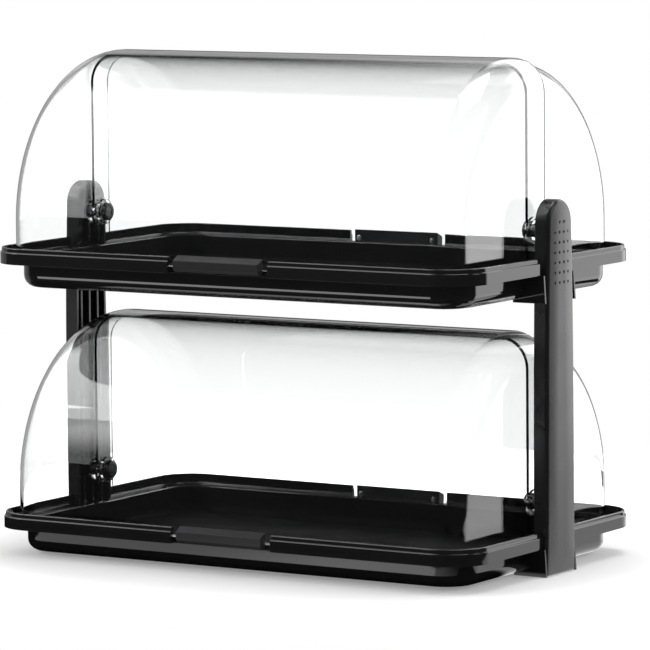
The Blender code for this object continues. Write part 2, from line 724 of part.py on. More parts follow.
def make_feet(look):
    """Makes the four feet, seated in recesses of the lower tray."""
    height = FOOT_STAND + FOOT_RECESS - SEAT_GAP
    for name, x, y in foot_places():
        foot = turned([(0, 0), (0, FOOT_RADIUS - FOOT_ROUND), (FOOT_ROUND, FOOT_RADIUS),
                       (height, FOOT_RADIUS), (height, 0)], ROUND_STEPS)
        point_along(foot, (x, y, 0), (0, 0, 1))
        finish_piece(foot, name, look)


def build():
    """Builds the whole bin."""
    clear_scene()
    tray_black = finish("tray_black", (0.008, 0.008, 0.009), 0.12)
    upright_black = finish("upright_black", (0.020, 0.020, 0.022), 0.38)
    handle_grey = finish("handle_grey", (0.045, 0.045, 0.048), 0.45)
    clear_acrylic = finish("clear_acrylic", (0.90, 0.92, 0.93), 0.04, alpha=0.3)
    pivot_black = finish("pivot_black", (0.010, 0.010, 0.011), 0.25)
    steel = finish("steel", (0.55, 0.55, 0.56), 0.30, metallic=1.0)
    rubber = finish("rubber", (0.030, 0.030, 0.030), 0.80)
    for tier in TIERS:
        make_tray(tier, tray_black)
        for face in FACES:
            make_lid(tier, face, clear_acrylic)
            make_handle(tier, face, handle_grey)
            make_handle_screws(tier, face, steel)
        for side in SIDES:
            make_pivot(tier, side, pivot_black, steel)
    make_uprights(upright_black)
    make_tie_screws(steel)
    make_feet(rubber)


build()
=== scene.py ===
"""Looks of a two-tier countertop bread display.

Two glossy black trays stand one above the other on satin side uprights. Each carries a clear
roll-top cover in two halves, which turn on pins at the tray's ends. Metres, +Z up, -Y in front.
"""

import json
import logging
import math
from dataclasses import dataclass
from enum import Enum
from typing import Any, Iterator, Sequence

import bmesh
import bpy
from bmesh.types import BMesh
from bpy.types import Material, Mesh, Node, NodeSocket, NodeTree, Object
from mathutils import Matrix, Vector

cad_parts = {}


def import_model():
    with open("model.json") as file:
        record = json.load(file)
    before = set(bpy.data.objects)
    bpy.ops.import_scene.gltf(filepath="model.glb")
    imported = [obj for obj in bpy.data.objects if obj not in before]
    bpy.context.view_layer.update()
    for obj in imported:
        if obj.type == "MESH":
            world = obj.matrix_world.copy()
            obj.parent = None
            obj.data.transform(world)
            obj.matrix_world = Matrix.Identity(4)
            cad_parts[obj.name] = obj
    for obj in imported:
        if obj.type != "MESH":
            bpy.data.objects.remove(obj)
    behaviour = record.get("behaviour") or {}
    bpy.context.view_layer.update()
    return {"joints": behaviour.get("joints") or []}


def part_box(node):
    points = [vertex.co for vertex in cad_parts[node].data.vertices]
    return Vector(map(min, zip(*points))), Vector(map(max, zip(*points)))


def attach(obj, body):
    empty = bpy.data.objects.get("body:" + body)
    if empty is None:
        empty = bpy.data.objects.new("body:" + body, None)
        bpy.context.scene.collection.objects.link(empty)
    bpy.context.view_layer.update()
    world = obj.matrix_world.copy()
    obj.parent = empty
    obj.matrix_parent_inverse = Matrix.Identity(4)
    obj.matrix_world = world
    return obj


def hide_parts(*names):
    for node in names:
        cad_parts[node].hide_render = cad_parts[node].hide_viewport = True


LOG = logging.getLogger("bread_display")
Point = tuple[float, float, float]
Pair = tuple[float, float]
MM = 0.001
# Height of a lid's axis over its tray's underside.
PIVOT_HEIGHT = 0.0654
# Thickness of the uprights' shelves, and the gap between a shelf and the tray's tongue that it holds.
SHELF, SHELF_SEAT = 0.0060, 0.0003
# Edges sharper than this get rounded, and stay sharp to the eye where nothing rounds them.
SHARP = math.radians(35)


class Tier(Enum):
    """The two levels of the display."""

    LOWER = "lower"
    UPPER = "upper"


class Way(Enum):
    """A way out from the display's middle."""

    @property
    def word(self) -> str:
        """The way's word in node names."""
        return self.value[0]

    @property
    def sign(self) -> int:
        """The sign of the way's coordinate."""
        return self.value[1]


class Face(Way):
    """The long side that a lid and its grip belong to, with the sign of its Y."""

    FRONT = ("front", -1)
    REAR = ("rear", 1)


class Side(Way):
    """The short end that an upright stands at, with the sign of its X."""

    LEFT = ("left", -1)
    RIGHT = ("right", 1)


# Colour and node helpers


def colour(code: str) -> tuple[float, float, float, float]:
    """Turns an sRGB hex code into a linear colour.

    Args:
        code: six hex digits, such as "1a1a1c".

    Returns:
        Linear red, green, blue and an alpha of 1.
    """
    channels = (int(code[i:i + 2], 16) / 255 for i in (0, 2, 4))
    linear = (c / 12.92 if c <= 0.04045 else ((c + 0.055) / 1.055) ** 2.4 for c in channels)
    return (*linear, 1.0)


def feed(tree: NodeTree, fed: Node, inputs: dict) -> None:
    """Sets or links a node's inputs.

    Args:
        tree: the node's tree.
        fed: the node.
        inputs: for each input, by name or place, a value or the output socket to link.
    """
    for name, value in inputs.items():
        socket = fed.inputs[name]
        if isinstance(value, NodeSocket):
            tree.links.new(value, socket)
        else:
            socket.default_value = value


def node(tree: NodeTree, kind: str, inputs: dict | None = None, **settings: Any) -> Node:
    """Adds one node with its settings and links.

    Args:
        tree: the node tree to add to.
        kind: the node's type identifier.
        inputs: its inputs, as feed() takes them.
        settings: properties of the node itself.

    Returns:
        The new node.
    """
    made = tree.nodes.new(kind)
    for name, value in settings.items():
        setattr(made, name, value)
    feed(tree, made, inputs or {})
    return made


# Finishes


@dataclass(frozen=True)
class Finish:
    """What a piece is made of.

    Attributes:
        name: the material's name: its common name and how it was made.
        slot: the record's material slot.
    """

    name: str
    slot: str

    def material(self) -> Material:
        """Returns the material, made once.

        Returns:
            The Blender material.
        """
        made = bpy.data.materials.get(self.name)
        if made is None:
            made = bpy.data.materials.new(self.name)
            made.use_nodes = True
            self.wire(made.node_tree)
        return made

    def wire(self, tree: NodeTree) -> None:
        """Adds the finish's nodes; each kind of finish has its own.

        Args:
            tree: the material's tree, with its shader and output.
        """
        raise NotImplementedError


@dataclass(frozen=True)
class Moulded(Finish):
    """A moulded plastic, rubber or plated metal with a fine skin texture.

    Attributes:
        shade: sRGB hex of the body colour.
        worn_shade: sRGB hex where the surface is rubbed or dusty.
        roughness: lowest and highest roughness over the surface.
        grain: width of the skin texture's bumps, in metres.
        bump: height of those bumps, in metres.
        patch: width of the slow colour and gloss patches, in metres.
        specular: strength of the plain reflection.
        metallic: 1 for metal.
    """

    shade: str
    worn_shade: str
    roughness: Pair
    grain: float
    bump: float
    patch: float = 60 * MM
    specular: float = 0.5
    metallic: float = 0.0

    # The noise of the patches, the stretch of it that sets the gloss, and the detail of the skin.
    PATCH_NOISE = {"Detail": 3.0, "Roughness": 0.55}
    PATCH_SPAN = (0.35, 0.65)
    SKIN_DETAIL = 2.0

    def wire(self, tree: NodeTree) -> None:
        """Adds slow patches of colour and gloss, and a fine skin.

        Args:
            tree: the material's tree, with its shader and output.
        """
        place = node(tree, "ShaderNodeTexCoord").outputs["Object"]
        patches = node(tree, "ShaderNodeTexNoise", {
            "Vector": place, "Scale": 1 / self.patch, **self.PATCH_NOISE})
        blend = node(tree, "ShaderNodeMix", {
            "Factor": patches.outputs["Fac"], 6: colour(self.shade), 7: colour(self.worn_shade)},
            data_type="RGBA")
        gloss = node(tree, "ShaderNodeMapRange", {
            "Value": patches.outputs["Fac"], "From Min": self.PATCH_SPAN[0], "From Max": self.PATCH_SPAN[1],
            "To Min": self.roughness[0], "To Max": self.roughness[1]})
        grain = node(tree, "ShaderNodeTexNoise", {
            "Vector": place, "Scale": 1 / self.grain, "Detail": self.SKIN_DETAIL})
        skin = node(tree, "ShaderNodeBump", {"Height": grain.outputs["Fac"], "Distance": self.bump})
        feed(tree, tree.nodes["Principled BSDF"], {
            "Base Color": blend.outputs[2], "Metallic": self.metallic, "Roughness": gloss.outputs["Result"],
            "Specular IOR Level": self.specular, "Normal": skin.outputs["Normal"]})


@dataclass(frozen=True)
class Clear(Finish):
    """A clear moulded sheet that lamps shine through.

    Attributes:
        tint: sRGB hex of what passes through one face.
        edge: the same where the wall is looked at along its length.
        shadow: sRGB hex of the light that reaches what is behind it.
        refraction: index of refraction.
        ripple: width of the moulding's slow ripples, in metres.
        bump: height of the ripples, in metres.
    """

    tint: str
    edge: str
    shadow: str
    refraction: float
    ripple: float
    bump: float

    # The stretch of Layer Weight's Facing over which the wall goes from its face's tint to its edge's.
    SLANT = (0.66, 0.90)
    RIPPLE_DETAIL = 1.0

    def wire(self, tree: NodeTree) -> None:
        """Adds glass that darkens along its walls, slow ripples, and an open way for the lamps' light.

        Args:
            tree: the material's tree, with its shader and output.
        """
        shader = tree.nodes["Principled BSDF"]
        facing = node(tree, "ShaderNodeLayerWeight").outputs["Facing"]
        slant = node(tree, "ShaderNodeMapRange", {
            "Value": facing, "From Min": self.SLANT[0], "From Max": self.SLANT[1]},
            interpolation_type="SMOOTHSTEP")
        depth = node(tree, "ShaderNodeMix", {
            0: slant.outputs[0], 6: colour(self.tint), 7: colour(self.edge)}, data_type="RGBA")
        place = node(tree, "ShaderNodeTexCoord").outputs["Object"]
        ripple = node(tree, "ShaderNodeTexNoise", {
            "Vector": place, "Scale": 1 / self.ripple, "Detail": self.RIPPLE_DETAIL})
        skin = node(tree, "ShaderNodeBump", {"Height": ripple.outputs["Fac"], "Distance": self.bump})
        feed(tree, shader, {
            "Base Color": depth.outputs[2], "Roughness": 0.0, "IOR": self.refraction,
            "Transmission Weight": 1.0, "Normal": skin.outputs["Normal"]})
        open_to_lamps = node(tree, "ShaderNodeBsdfTransparent", {"Color": colour(self.shadow)})
        ray = node(tree, "ShaderNodeLightPath")
        mix = node(tree, "ShaderNodeMixShader", {
            0: ray.outputs["Is Shadow Ray"], 1: shader.outputs["BSDF"], 2: open_to_lamps.outputs["BSDF"]})
        feed(tree, tree.nodes["Material Output"], {"Surface": mix.outputs["Shader"]})


# Injection-moulded ABS from a polished mould: near black, with soft mirror reflections.
TRAY_PLASTIC = Moulded(
    "abs_polished_black", "tray_black", "151516", "1a1a1b", (0.045, 0.075), 1.6 * MM, 0.002 * MM)
# The same black ABS from a spark-eroded part of the mould: an even matt well round the bread.
TRAY_FLOOR = Moulded(
    "abs_spark_textured_black", "tray_black", "151516", "191919", (0.50, 0.60), 0.8 * MM, 0.02 * MM,
    specular=0.02)
# Moulded ABS with a fine spark texture: black with a broad, soft sheen.
UPRIGHT_PLASTIC = Moulded(
    "abs_satin_black", "upright_black", "171718", "1d1d1f", (0.25, 0.32), 0.7 * MM, 0.02 * MM)
# Soft-touch moulded polypropylene: dark grey, almost no mirror image.
GRIP_PLASTIC = Moulded(
    "polypropylene_matt_grey", "handle_grey", "1d1d1f", "252527", (0.46, 0.56), 0.6 * MM, 0.02 * MM,
    specular=0.24)
# Turned acetal: black, slick and slightly waxy.
PIVOT_PLASTIC = Moulded(
    "acetal_turned_black", "pivot_black", "101011", "171718", (0.20, 0.28), 0.8 * MM, 0.006 * MM)
# Zinc-plated steel: pale grey metal with a cloudy plating.
PLATED_STEEL = Moulded(
    "steel_zinc_plated", "steel", "b4b5b8", "9c9da0", (0.26, 0.38), 0.5 * MM, 0.004 * MM,
    patch=4 * MM, metallic=1.0)
# Moulded nitrile rubber: dull dark grey with a dusty bloom.
FOOT_RUBBER = Moulded(
    "nitrile_moulded", "rubber", "232324", "2e2e2f", (0.75, 0.88), 0.5 * MM, 0.03 * MM, patch=8 * MM)
# Injection-moulded clear acrylic: colourless, greyer along its walls, with faint flow ripples.
LID_ACRYLIC = Clear(
    "acrylic_clear_moulded", "clear_acrylic", "fbfcfc", "a4a7a7", "e6e8e8", 1.49, 45 * MM, 0.02 * MM)


# Mesh helpers


def mesh_of(work: BMesh, name: str) -> Mesh:
    """Turns a bmesh into a mesh whose faces point out.

    Args:
        work: the bmesh, freed here.
        name: the mesh's name.

    Returns:
        The mesh.
    """
    bmesh.ops.recalc_face_normals(work, faces=work.faces[:])
    made = bpy.data.meshes.new(name)
    work.to_mesh(made)
    work.free()
    return made


def place_object(name: str, mesh: Mesh) -> Object:
    """Puts a mesh in the scene, at the origin.

    Args:
        name: the object's name.
        mesh: its mesh.

    Returns:
        The object.
    """
    item = bpy.data.objects.new(name, mesh)
    bpy.context.scene.collection.objects.link(item)
    return item


def bridge(work: BMesh, first: Sequence, second: Sequence) -> None:
    """Joins two closed rings of vertices with quads.

    Args:
        work: the bmesh that holds them.
        first: one ring's vertices.
        second: the other's, in the same order.
    """
    for i, vert in enumerate(first):
        after = (i + 1) % len(first)
        work.faces.new((vert, first[after], second[after], second[i]))


def loft(name: str, rings: Sequence[Sequence[Point]]) -> Object:
    """Closes a solid through rings of equal count, capped at both ends.

    Args:
        name: the object's name.
        rings: the rings' points, in order.

    Returns:
        The object.
    """
    work = bmesh.new()
    loops = [[work.verts.new(point) for point in ring] for ring in rings]
    for first, second in zip(loops, loops[1:]):
        bridge(work, first, second)
    work.faces.new(loops[0])
    work.faces.new(loops[-1])
    return place_object(name, mesh_of(work, name))


def turned(name: str, profile: Sequence[Pair], steps: int, ring: bool = False) -> Object:
    """Turns a profile about X.

    Args:
        name: the object's name.
        profile: (x, radius) points.
        steps: facets round the axis.
        ring: True joins the profile's ends into a closed ring, False closes them on the axis.

    Returns:
        The object.
    """
    work = bmesh.new()
    loops = []
    for x, radius in profile:
        angles = [math.tau * i / steps for i in range(steps if radius > 0 else 1)]
        loops.append([work.verts.new((x, radius * math.cos(a), radius * math.sin(a))) for a in angles])
    pairs = list(zip(loops, loops[1:])) + ([(loops[-1], loops[0])] if ring else [])
    for first, second in pairs:
        if len(first) > 1 and len(second) > 1:
            bridge(work, first, second)
        else:
            pole, loop = (first[0], second) if len(first) == 1 else (second[0], first)
            for i, vert in enumerate(loop):
                work.faces.new((pole, vert, loop[(i + 1) % len(loop)]))
    return place_object(name, mesh_of(work, name))


def box(low: Point, high: Point) -> Object:
    """Returns a block between two corners, to cut or join with.

    Args:
        low: one corner.
        high: the opposite corner, in any order.

    Returns:
        The object.
    """
    (x0, x1), (y0, y1), (z0, z1) = (sorted(pair) for pair in zip(low, high))
    rings = [[(x0, y0, z), (x1, y0, z), (x1, y1, z), (x0, y1, z)] for z in (z0, z1)]
    return loft("block", rings)


def prism(outline: Sequence[Pair], low: float, high: float, axis: int) -> Object:
    """Extrudes an outline along an axis.

    Args:
        outline: the points' other two coordinates, in X, Y, Z order.
        low: start along the axis.
        high: end along the axis.
        axis: 0, 1 or 2 for X, Y or Z.

    Returns:
        The object.
    """
    rings = []
    for level in (low, high):
        points = [list(point) for point in outline]
        for point in points:
            point.insert(axis, level)
        rings.append([tuple(point) for point in points])
    return loft("prism", rings)


def rod(start: Point, direction: Point, length: float, radius: float, steps: int = 32) -> Object:
    """Returns a plain round bar, to cut or join with.

    Args:
        start: the middle of its first end.
        direction: the way it runs.
        length: its length.
        radius: its radius.
        steps: facets round it.

    Returns:
        The object.
    """
    bar = turned("bar", [(0, 0), (0, radius), (length, radius), (length, 0)], steps)
    aim(bar, start, direction)
    return bar


def aim(item: Object, start: Sequence[float], direction: Sequence[float]) -> None:
    """Bakes a move into a turned piece, so that its X axis starts at a point along a direction.

    Args:
        item: the turned piece.
        start: where its origin goes.
        direction: where its X axis points.
    """
    spin = Vector(direction).to_track_quat("X", "Z").to_matrix().to_4x4()
    item.data.transform(Matrix.Translation(Vector(start)) @ spin)


def combine(item: Object, tool: Object, operation: str) -> None:
    """Applies one Boolean to an object's mesh and removes the tool.

    Args:
        item: the object that changes.
        tool: the object that is joined or taken out.
        operation: UNION, DIFFERENCE or INTERSECT.
    """
    step = item.modifiers.new("step", "BOOLEAN")
    step.operation = operation
    step.solver = "EXACT"
    step.object = tool
    apply_modifiers(item)
    weld(item.data)
    bpy.data.objects.remove(tool, do_unlink=True)


def apply_modifiers(item: Object) -> None:
    """Makes an object's modifiers part of its mesh.

    Args:
        item: the object.
    """
    bpy.context.view_layer.update()
    graph = bpy.context.evaluated_depsgraph_get()
    made = bpy.data.meshes.new_from_object(item.evaluated_get(graph))
    item.modifiers.clear()
    item.data = made


def weld(mesh: Mesh) -> None:
    """Merges points that a Boolean left on each other.

    Args:
        mesh: the mesh.
    """
    closest = 0.005 * MM
    work = bmesh.new()
    work.from_mesh(mesh)
    bmesh.ops.remove_doubles(work, verts=work.verts[:], dist=closest)
    bmesh.ops.dissolve_degenerate(work, edges=work.edges[:], dist=closest)
    work.to_mesh(mesh)
    work.free()


def soften(item: Object, width: float, segments: int = 2) -> None:
    """Rounds an object's sharp edges, so that they catch the light, and shades it smooth.

    Args:
        item: the object.
        width: the rounding's width.
        segments: facets across it.
    """
    step = item.modifiers.new("edges", "BEVEL")
    step.width = width
    step.segments = segments
    step.limit_method = "ANGLE"
    step.angle_limit = SHARP
    step.use_clamp_overlap = True
    apply_modifiers(item)
    shade(item)


def smooth(item: Object, angle: float = SHARP) -> None:
    """Shades an object smooth, but for edges sharper than the angle."""
    item.data.shade_smooth()
    item.data.set_sharp_from_angle(angle=angle)


def shade(item: Object, angle: float = math.radians(40)) -> None:
    """Shades an object smooth, while its broad flat faces stay flat up to their edges.

    Args:
        item: the object.
        angle: edges sharper than this stay sharp.
    """
    full_weight = 100
    smooth(item, angle)
    step = item.modifiers.new("normals", "WEIGHTED_NORMAL")
    step.mode = "FACE_AREA"
    step.weight = full_weight
    step.keep_sharp = True
    apply_modifiers(item)


def quarter(steps: int) -> Iterator[Pair]:
    """Yields the sine and cosine at each step of a quarter turn."""
    for i in range(steps + 1):
        angle = math.pi / 2 * i / steps
        yield math.sin(angle), math.cos(angle)


def dress(item: Object, finish: Finish, body: str, *nodes: str) -> Object:
    """Gives a piece its finish and ties it to its body and to the nodes it stands for.

    Args:
        item: the piece.
        finish: its finish.
        body: the body that it rides on.
        nodes: the nodes that it replaces.

    Returns:
        The piece.
    """
    item.data.materials.clear()
    item.data.materials.append(finish.material())
    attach(item, body)
    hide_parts(*nodes)
    triangles = sum(len(face.vertices) - 2 for face in item.data.polygons)
    LOG.info("%s: %d triangles, replaces %s", item.name, triangles, ", ".join(nodes))
    return item


# Repeats


@dataclass
class Repeat:
    """A Geometry Nodes tree that sets copies of one form on a grid in the plane of Y and Z.

    Attributes:
        name: the tree's name.
        trim_top: leaves the grid's top row without its outer copies.
    """

    name: str
    trim_top: bool = False

    SOCKETS = {
        "Form": "NodeSocketObject", "Finish": "NodeSocketMaterial", "Across": "NodeSocketInt",
        "Up": "NodeSocketInt", "Pitch Across": "NodeSocketFloat", "Pitch Up": "NodeSocketFloat",
        "Centre": "NodeSocketVector", "Turn": "NodeSocketVector",
    }

    def tree(self) -> NodeTree:
        """Builds the tree.

        Returns:
            The node group.
        """
        tree = bpy.data.node_groups.new(self.name, "GeometryNodeTree")
        tree.interface.new_socket("Geometry", in_out="OUTPUT", socket_type="NodeSocketGeometry")
        for name, kind in self.SOCKETS.items():
            tree.interface.new_socket(name, in_out="INPUT", socket_type=kind)
        given = node(tree, "NodeGroupInput").outputs
        widths = []
        for count, pitch in (("Across", "Pitch Across"), ("Up", "Pitch Up")):
            gaps = node(tree, "ShaderNodeMath", {0: given[count], 1: 1.0}, operation="SUBTRACT")
            widths.append(node(tree, "ShaderNodeMath", {
                0: gaps.outputs[0], 1: given[pitch]}, operation="MULTIPLY"))
        grid = node(tree, "GeometryNodeMeshGrid", {
            "Size X": widths[0].outputs[0], "Size Y": widths[1].outputs[0],
            "Vertices X": given["Across"], "Vertices Y": given["Up"]})
        points = grid.outputs["Mesh"]
        if self.trim_top:
            points = self.trimmed(tree, points, widths)
        form = node(tree, "GeometryNodeObjectInfo", {"Object": given["Form"], "As Instance": True})
        copies = node(tree, "GeometryNodeInstanceOnPoints", {
            "Points": points, "Instance": form.outputs["Geometry"]})
        upright = node(tree, "GeometryNodeTransform", {
            "Geometry": copies.outputs["Instances"], "Rotation": given["Turn"],
            "Translation": given["Centre"]})
        real = node(tree, "GeometryNodeRealizeInstances", {"Geometry": upright.outputs["Geometry"]})
        done = node(tree, "GeometryNodeSetMaterial", {
            "Geometry": real.outputs["Geometry"], "Material": given["Finish"]})
        node(tree, "NodeGroupOutput", {"Geometry": done.outputs["Geometry"]})
        return tree

    def trimmed(self, tree: NodeTree, points: NodeSocket, widths: Sequence) -> NodeSocket:
        """Drops the outer points of the top row.

        Args:
            tree: the node group.
            points: the grid.
            widths: the nodes that hold the grid's two widths.

        Returns:
            The socket of the trimmed grid.
        """
        nearly = 0.49
        where = node(tree, "ShaderNodeSeparateXYZ", {0: node(tree, "GeometryNodeInputPosition").outputs[0]})
        far = node(tree, "ShaderNodeMath", {0: where.outputs["X"]}, operation="ABSOLUTE")
        tests = []
        for value, width in ((far.outputs[0], widths[0]), (where.outputs["Y"], widths[1])):
            bound = node(tree, "ShaderNodeMath", {0: width.outputs[0], 1: nearly}, operation="MULTIPLY")
            test = node(tree, "ShaderNodeMath", {0: value, 1: bound.outputs[0]}, operation="GREATER_THAN")
            tests.append(test.outputs[0])
        both = node(tree, "ShaderNodeMath", {0: tests[0], 1: tests[1]}, operation="MULTIPLY")
        return node(tree, "GeometryNodeDeleteGeometry", {
            "Geometry": points, "Selection": both.outputs[0]}).outputs["Geometry"]

    def grow(self, name: str, form: Object, finish: Finish, **values: Any) -> Object:
        """Runs the tree and keeps its result as a plain mesh.

        Args:
            name: the new object's name.
            form: the object that is repeated, removed here.
            finish: the copies' finish.
            values: the tree's other inputs, spaces written as underscores.

        Returns:
            The new object.
        """
        tree = self.tree()
        holder = place_object(name, bpy.data.meshes.new(name))
        step = holder.modifiers.new("repeat", "NODES")
        step.node_group = tree
        given = {key.replace("_", " "): value for key, value in values.items()}
        given.update({"Form": form, "Finish": finish.material()})
        for socket in tree.interface.items_tree:
            if socket.in_out == "INPUT" and socket.name in given:
                step[socket.identifier] = given[socket.name]
        apply_modifiers(holder)
        bpy.data.objects.remove(form, do_unlink=True)
        smooth(holder)
        return holder


# Trays


@dataclass
class Tray:
    """A moulded tray: floor, walls, a ledge for the lids, and a lipped rim with a turned-down skirt.

    Attributes:
        tier: which of the two trays.
        base: height of its underside.
        lid_radius: for each face, the outer radius of the lid whose grip sits in the rim there.
    """

    tier: Tier
    base: float
    lid_radius: dict[Face, float]
    length: float = 0.5600
    width: float = 0.3455
    corner: float = 0.0420
    crest: float = 0.0408
    lip: float = 0.0038
    lip_height: float = 0.0042
    lip_back: float = 0.0014
    lip_lean: float = 0.0002
    lip_round: float = 0.0010
    shoulder_round: float = 0.0012
    shoulder_rise: float = 0.0003
    skirt: float = 0.0162
    ledge_drop: float = 0.0103
    wall: float = 0.0030
    inset: float = 0.0190
    body_corner: float = 0.0345
    body_edge: float = 0.0120
    support: float = 0.0008
    grip_half: float = 0.0495
    pocket_gap: float = 0.0085
    pocket_back: float = 0.0008
    slot_half: float = 0.0278
    slot_x: float = 0.2697
    cheek: float = 0.0025
    cheek_below: float = 0.0026
    cheek_reach: float = 0.0240
    cheek_lean: float = 0.0016
    tongue_lift: float = 0.0045
    tongue_height: float = 0.0140
    tongue_half: float = 0.0162
    tongue_end: float = 0.2833
    bead: float = 0.0004
    bead_drop: float = 0.0006
    fillet_share: float = 0.6
    edge_break: float = 0.4 * MM
    over: float = 0.0040
    corner_steps: int = 14
    round_steps: int = 5
    fillet_steps: int = 3

    def ring(self, inset: float, corner: float, z: float) -> list[Point]:
        """Returns one ring of the tray.

        Args:
            inset: how far it is drawn in from the rim's outline.
            corner: its corner radius.
            z: its height above the tray's underside.

        Returns:
            The ring's points.
        """
        half_x, half_y = self.length / 2 - inset, self.width / 2 - inset
        points = []
        for quadrant, (sx, sy) in enumerate(((1, 1), (-1, 1), (-1, -1), (1, -1))):
            for i in range(self.corner_steps + 1):
                angle = math.pi / 2 * (quadrant + i / self.corner_steps)
                x = sx * (half_x - corner) + corner * math.cos(angle)
                y = sy * (half_y - corner) + corner * math.sin(angle)
                points.append((x, y, self.base + z))
        return points

    def rings(self) -> list[list[Point]]:
        """Lists the rings from the underside, round the rim and down to the floor.

        Returns:
            The rings.
        """
        ledge, skirt = self.crest - self.ledge_drop, self.crest - self.skirt
        inner, inner_corner = self.inset + self.wall, self.body_corner - self.wall
        fillet = self.wall * self.fillet_share
        rings = []
        for sine, cosine in quarter(self.round_steps):
            draw = self.body_edge * (1 - sine)
            rings.append((self.inset + draw, self.body_corner - draw, self.body_edge * (1 - cosine)))
        rings.append((self.inset, self.body_corner, self.body_edge + self.support))
        rings.append((self.inset, self.body_corner, ledge - self.wall))
        rings.append((self.wall, self.corner - self.wall, ledge - self.wall))
        rings.append((self.wall, self.corner - self.wall, skirt))
        rings.append((0, self.corner, skirt))
        shoulder = self.crest - self.lip_height
        for sine, cosine in quarter(self.round_steps):
            draw = self.shoulder_round * (1 - cosine)
            rings.append((draw, self.corner - draw, shoulder - self.shoulder_round * (1 - sine)))
        rings.append((self.lip_back, self.corner - self.lip_back, shoulder + self.shoulder_rise))
        for sine, cosine in quarter(self.round_steps):
            draw = self.lip_back + self.lip_lean + self.lip_round * (1 - cosine)
            rings.append((draw, self.corner - draw, self.crest - self.lip_round * (1 - sine)))
        rings.append((self.lip, self.corner - self.lip, self.crest))
        rings.append((self.lip + self.bead, self.corner - self.lip - self.bead, self.crest - self.bead_drop))
        for sine, cosine in quarter(self.fillet_steps):
            draw = fillet * (1 - cosine)
            rings.append((self.lip + self.bead + draw, self.corner - self.lip - self.bead - draw,
                          ledge + fillet * (1 - sine)))
        for sine, cosine in quarter(self.fillet_steps):
            draw = fillet * (1 - sine)
            rings.append((inner - draw, inner_corner + draw, ledge - fillet * (1 - cosine)))
        edge = self.body_edge - self.wall
        for sine, cosine in quarter(self.round_steps):
            draw = edge * (1 - cosine)
            rings.append((inner + draw, inner_corner - draw, self.wall + edge * (1 - sine)))
        return [self.ring(*ring) for ring in rings]

    def block(self, way: Way, reach: Pair, half: float, rise: Pair) -> Object:
        """Returns a block out from the tray's middle, to cut or join with.

        Args:
            way: the face or side that it points to.
            reach: how far out it starts and ends.
            half: half of its width.
            rise: its bottom and top over the tray's underside.

        Returns:
            The block.
        """
        corners = []
        for out, across, up in zip(reach, (-half, half), rise):
            level = (way.sign * out, across) if isinstance(way, Side) else (across, way.sign * out)
            corners.append((*level, self.base + up))
        return box(*corners)

    def cut_pocket(self, tray: Object, face: Face) -> None:
        """Sinks the walled pocket for a grip into the rim.

        Args:
            tray: the tray so far.
            face: the side that it is on.
        """
        back = self.lid_radius[face] - self.pocket_back
        half = self.grip_half + self.pocket_gap
        under, skirt = self.crest - self.ledge_drop - self.wall / 2, self.crest - self.skirt
        walls = self.block(face, (back - self.wall, self.width / 2 - self.wall / 2), half + self.wall,
                           (skirt, under))
        combine(tray, walls, "UNION")
        pocket = self.block(face, (back, self.width / 2 + self.over), half,
                            (skirt - self.over, self.crest + self.over))
        combine(tray, pocket, "DIFFERENCE")

    def cheek_outline(self) -> list[Pair]:
        """Returns a cheek plate's outline in X and Z, which hugs the body's rounded bottom edge."""
        body_x, outer = self.length / 2 - self.inset, self.length / 2 - self.wall / 2
        under, skirt = self.crest - self.ledge_drop - self.wall / 2, self.crest - self.skirt
        middle, reach = self.body_edge - self.wall / 2, body_x + self.cheek_reach
        points = [(body_x - self.body_edge, -self.cheek_below), (reach, -self.cheek_below),
                  (reach - self.cheek_lean, skirt), (outer, skirt), (outer, under),
                  (body_x - self.wall / 2, under)]
        for sine, cosine in quarter(self.round_steps):
            points.append((body_x - self.body_edge + middle * cosine, self.body_edge - middle * sine))
        return points

    def add_socket(self, tray: Object, side: Side) -> None:
        """Adds the slot, cheek plates and tongue that take an upright.

        Args:
            tray: the tray so far.
            side: the end that they are at.
        """
        under, skirt = self.crest - self.ledge_drop - self.wall / 2, self.crest - self.skirt
        web = self.block(side, (self.slot_x - self.wall, self.slot_x), self.slot_half + self.cheek / 2,
                         (skirt, under))
        combine(tray, web, "UNION")
        outline = [(side.sign * x, self.base + z) for x, z in self.cheek_outline()]
        for y in (-self.slot_half - self.cheek, self.slot_half):
            combine(tray, prism(outline, y, y + self.cheek, 1), "UNION")
        slot = self.block(side, (self.slot_x, self.length / 2 + self.over), self.slot_half,
                          (skirt - self.over, self.crest + self.over))
        combine(tray, slot, "DIFFERENCE")
        root = self.length / 2 - self.inset - self.wall / 2
        tongue = self.block(side, (root, self.tongue_end), self.tongue_half,
                            (self.tongue_lift, self.tongue_lift + self.tongue_height))
        combine(tray, tongue, "UNION")

    def texture_floor(self, tray: Object) -> None:
        """Gives the well's floor and inner walls their own, matt finish.

        Args:
            tray: the finished tray.
        """
        tray.data.materials.append(TRAY_FLOOR.material())
        skin, upward = 0.5 * MM, 0.999
        draw = self.inset + self.wall - skin
        low, high = self.base + self.wall - skin, self.base + self.crest - self.ledge_drop - skin
        for face in tray.data.polygons:
            middle, normal = face.center, face.normal
            within = abs(middle.x) < self.length / 2 - draw and abs(middle.y) < self.width / 2 - draw
            inward = normal.x * middle.x + normal.y * middle.y < 0 or normal.z > upward
            if within and inward and low < middle.z < high:
                face.material_index = 1

    def build(self) -> None:
        """Builds the tray and dresses it."""
        name = f"{self.tier.value}_tray"
        tray = loft(f"{name}_moulding", self.rings())
        for face in Face:
            self.cut_pocket(tray, face)
        for side in Side:
            self.add_socket(tray, side)
        soften(tray, self.edge_break)
        dress(tray, TRAY_PLASTIC, "root", name)
        self.texture_floor(tray)


# Lids and grips


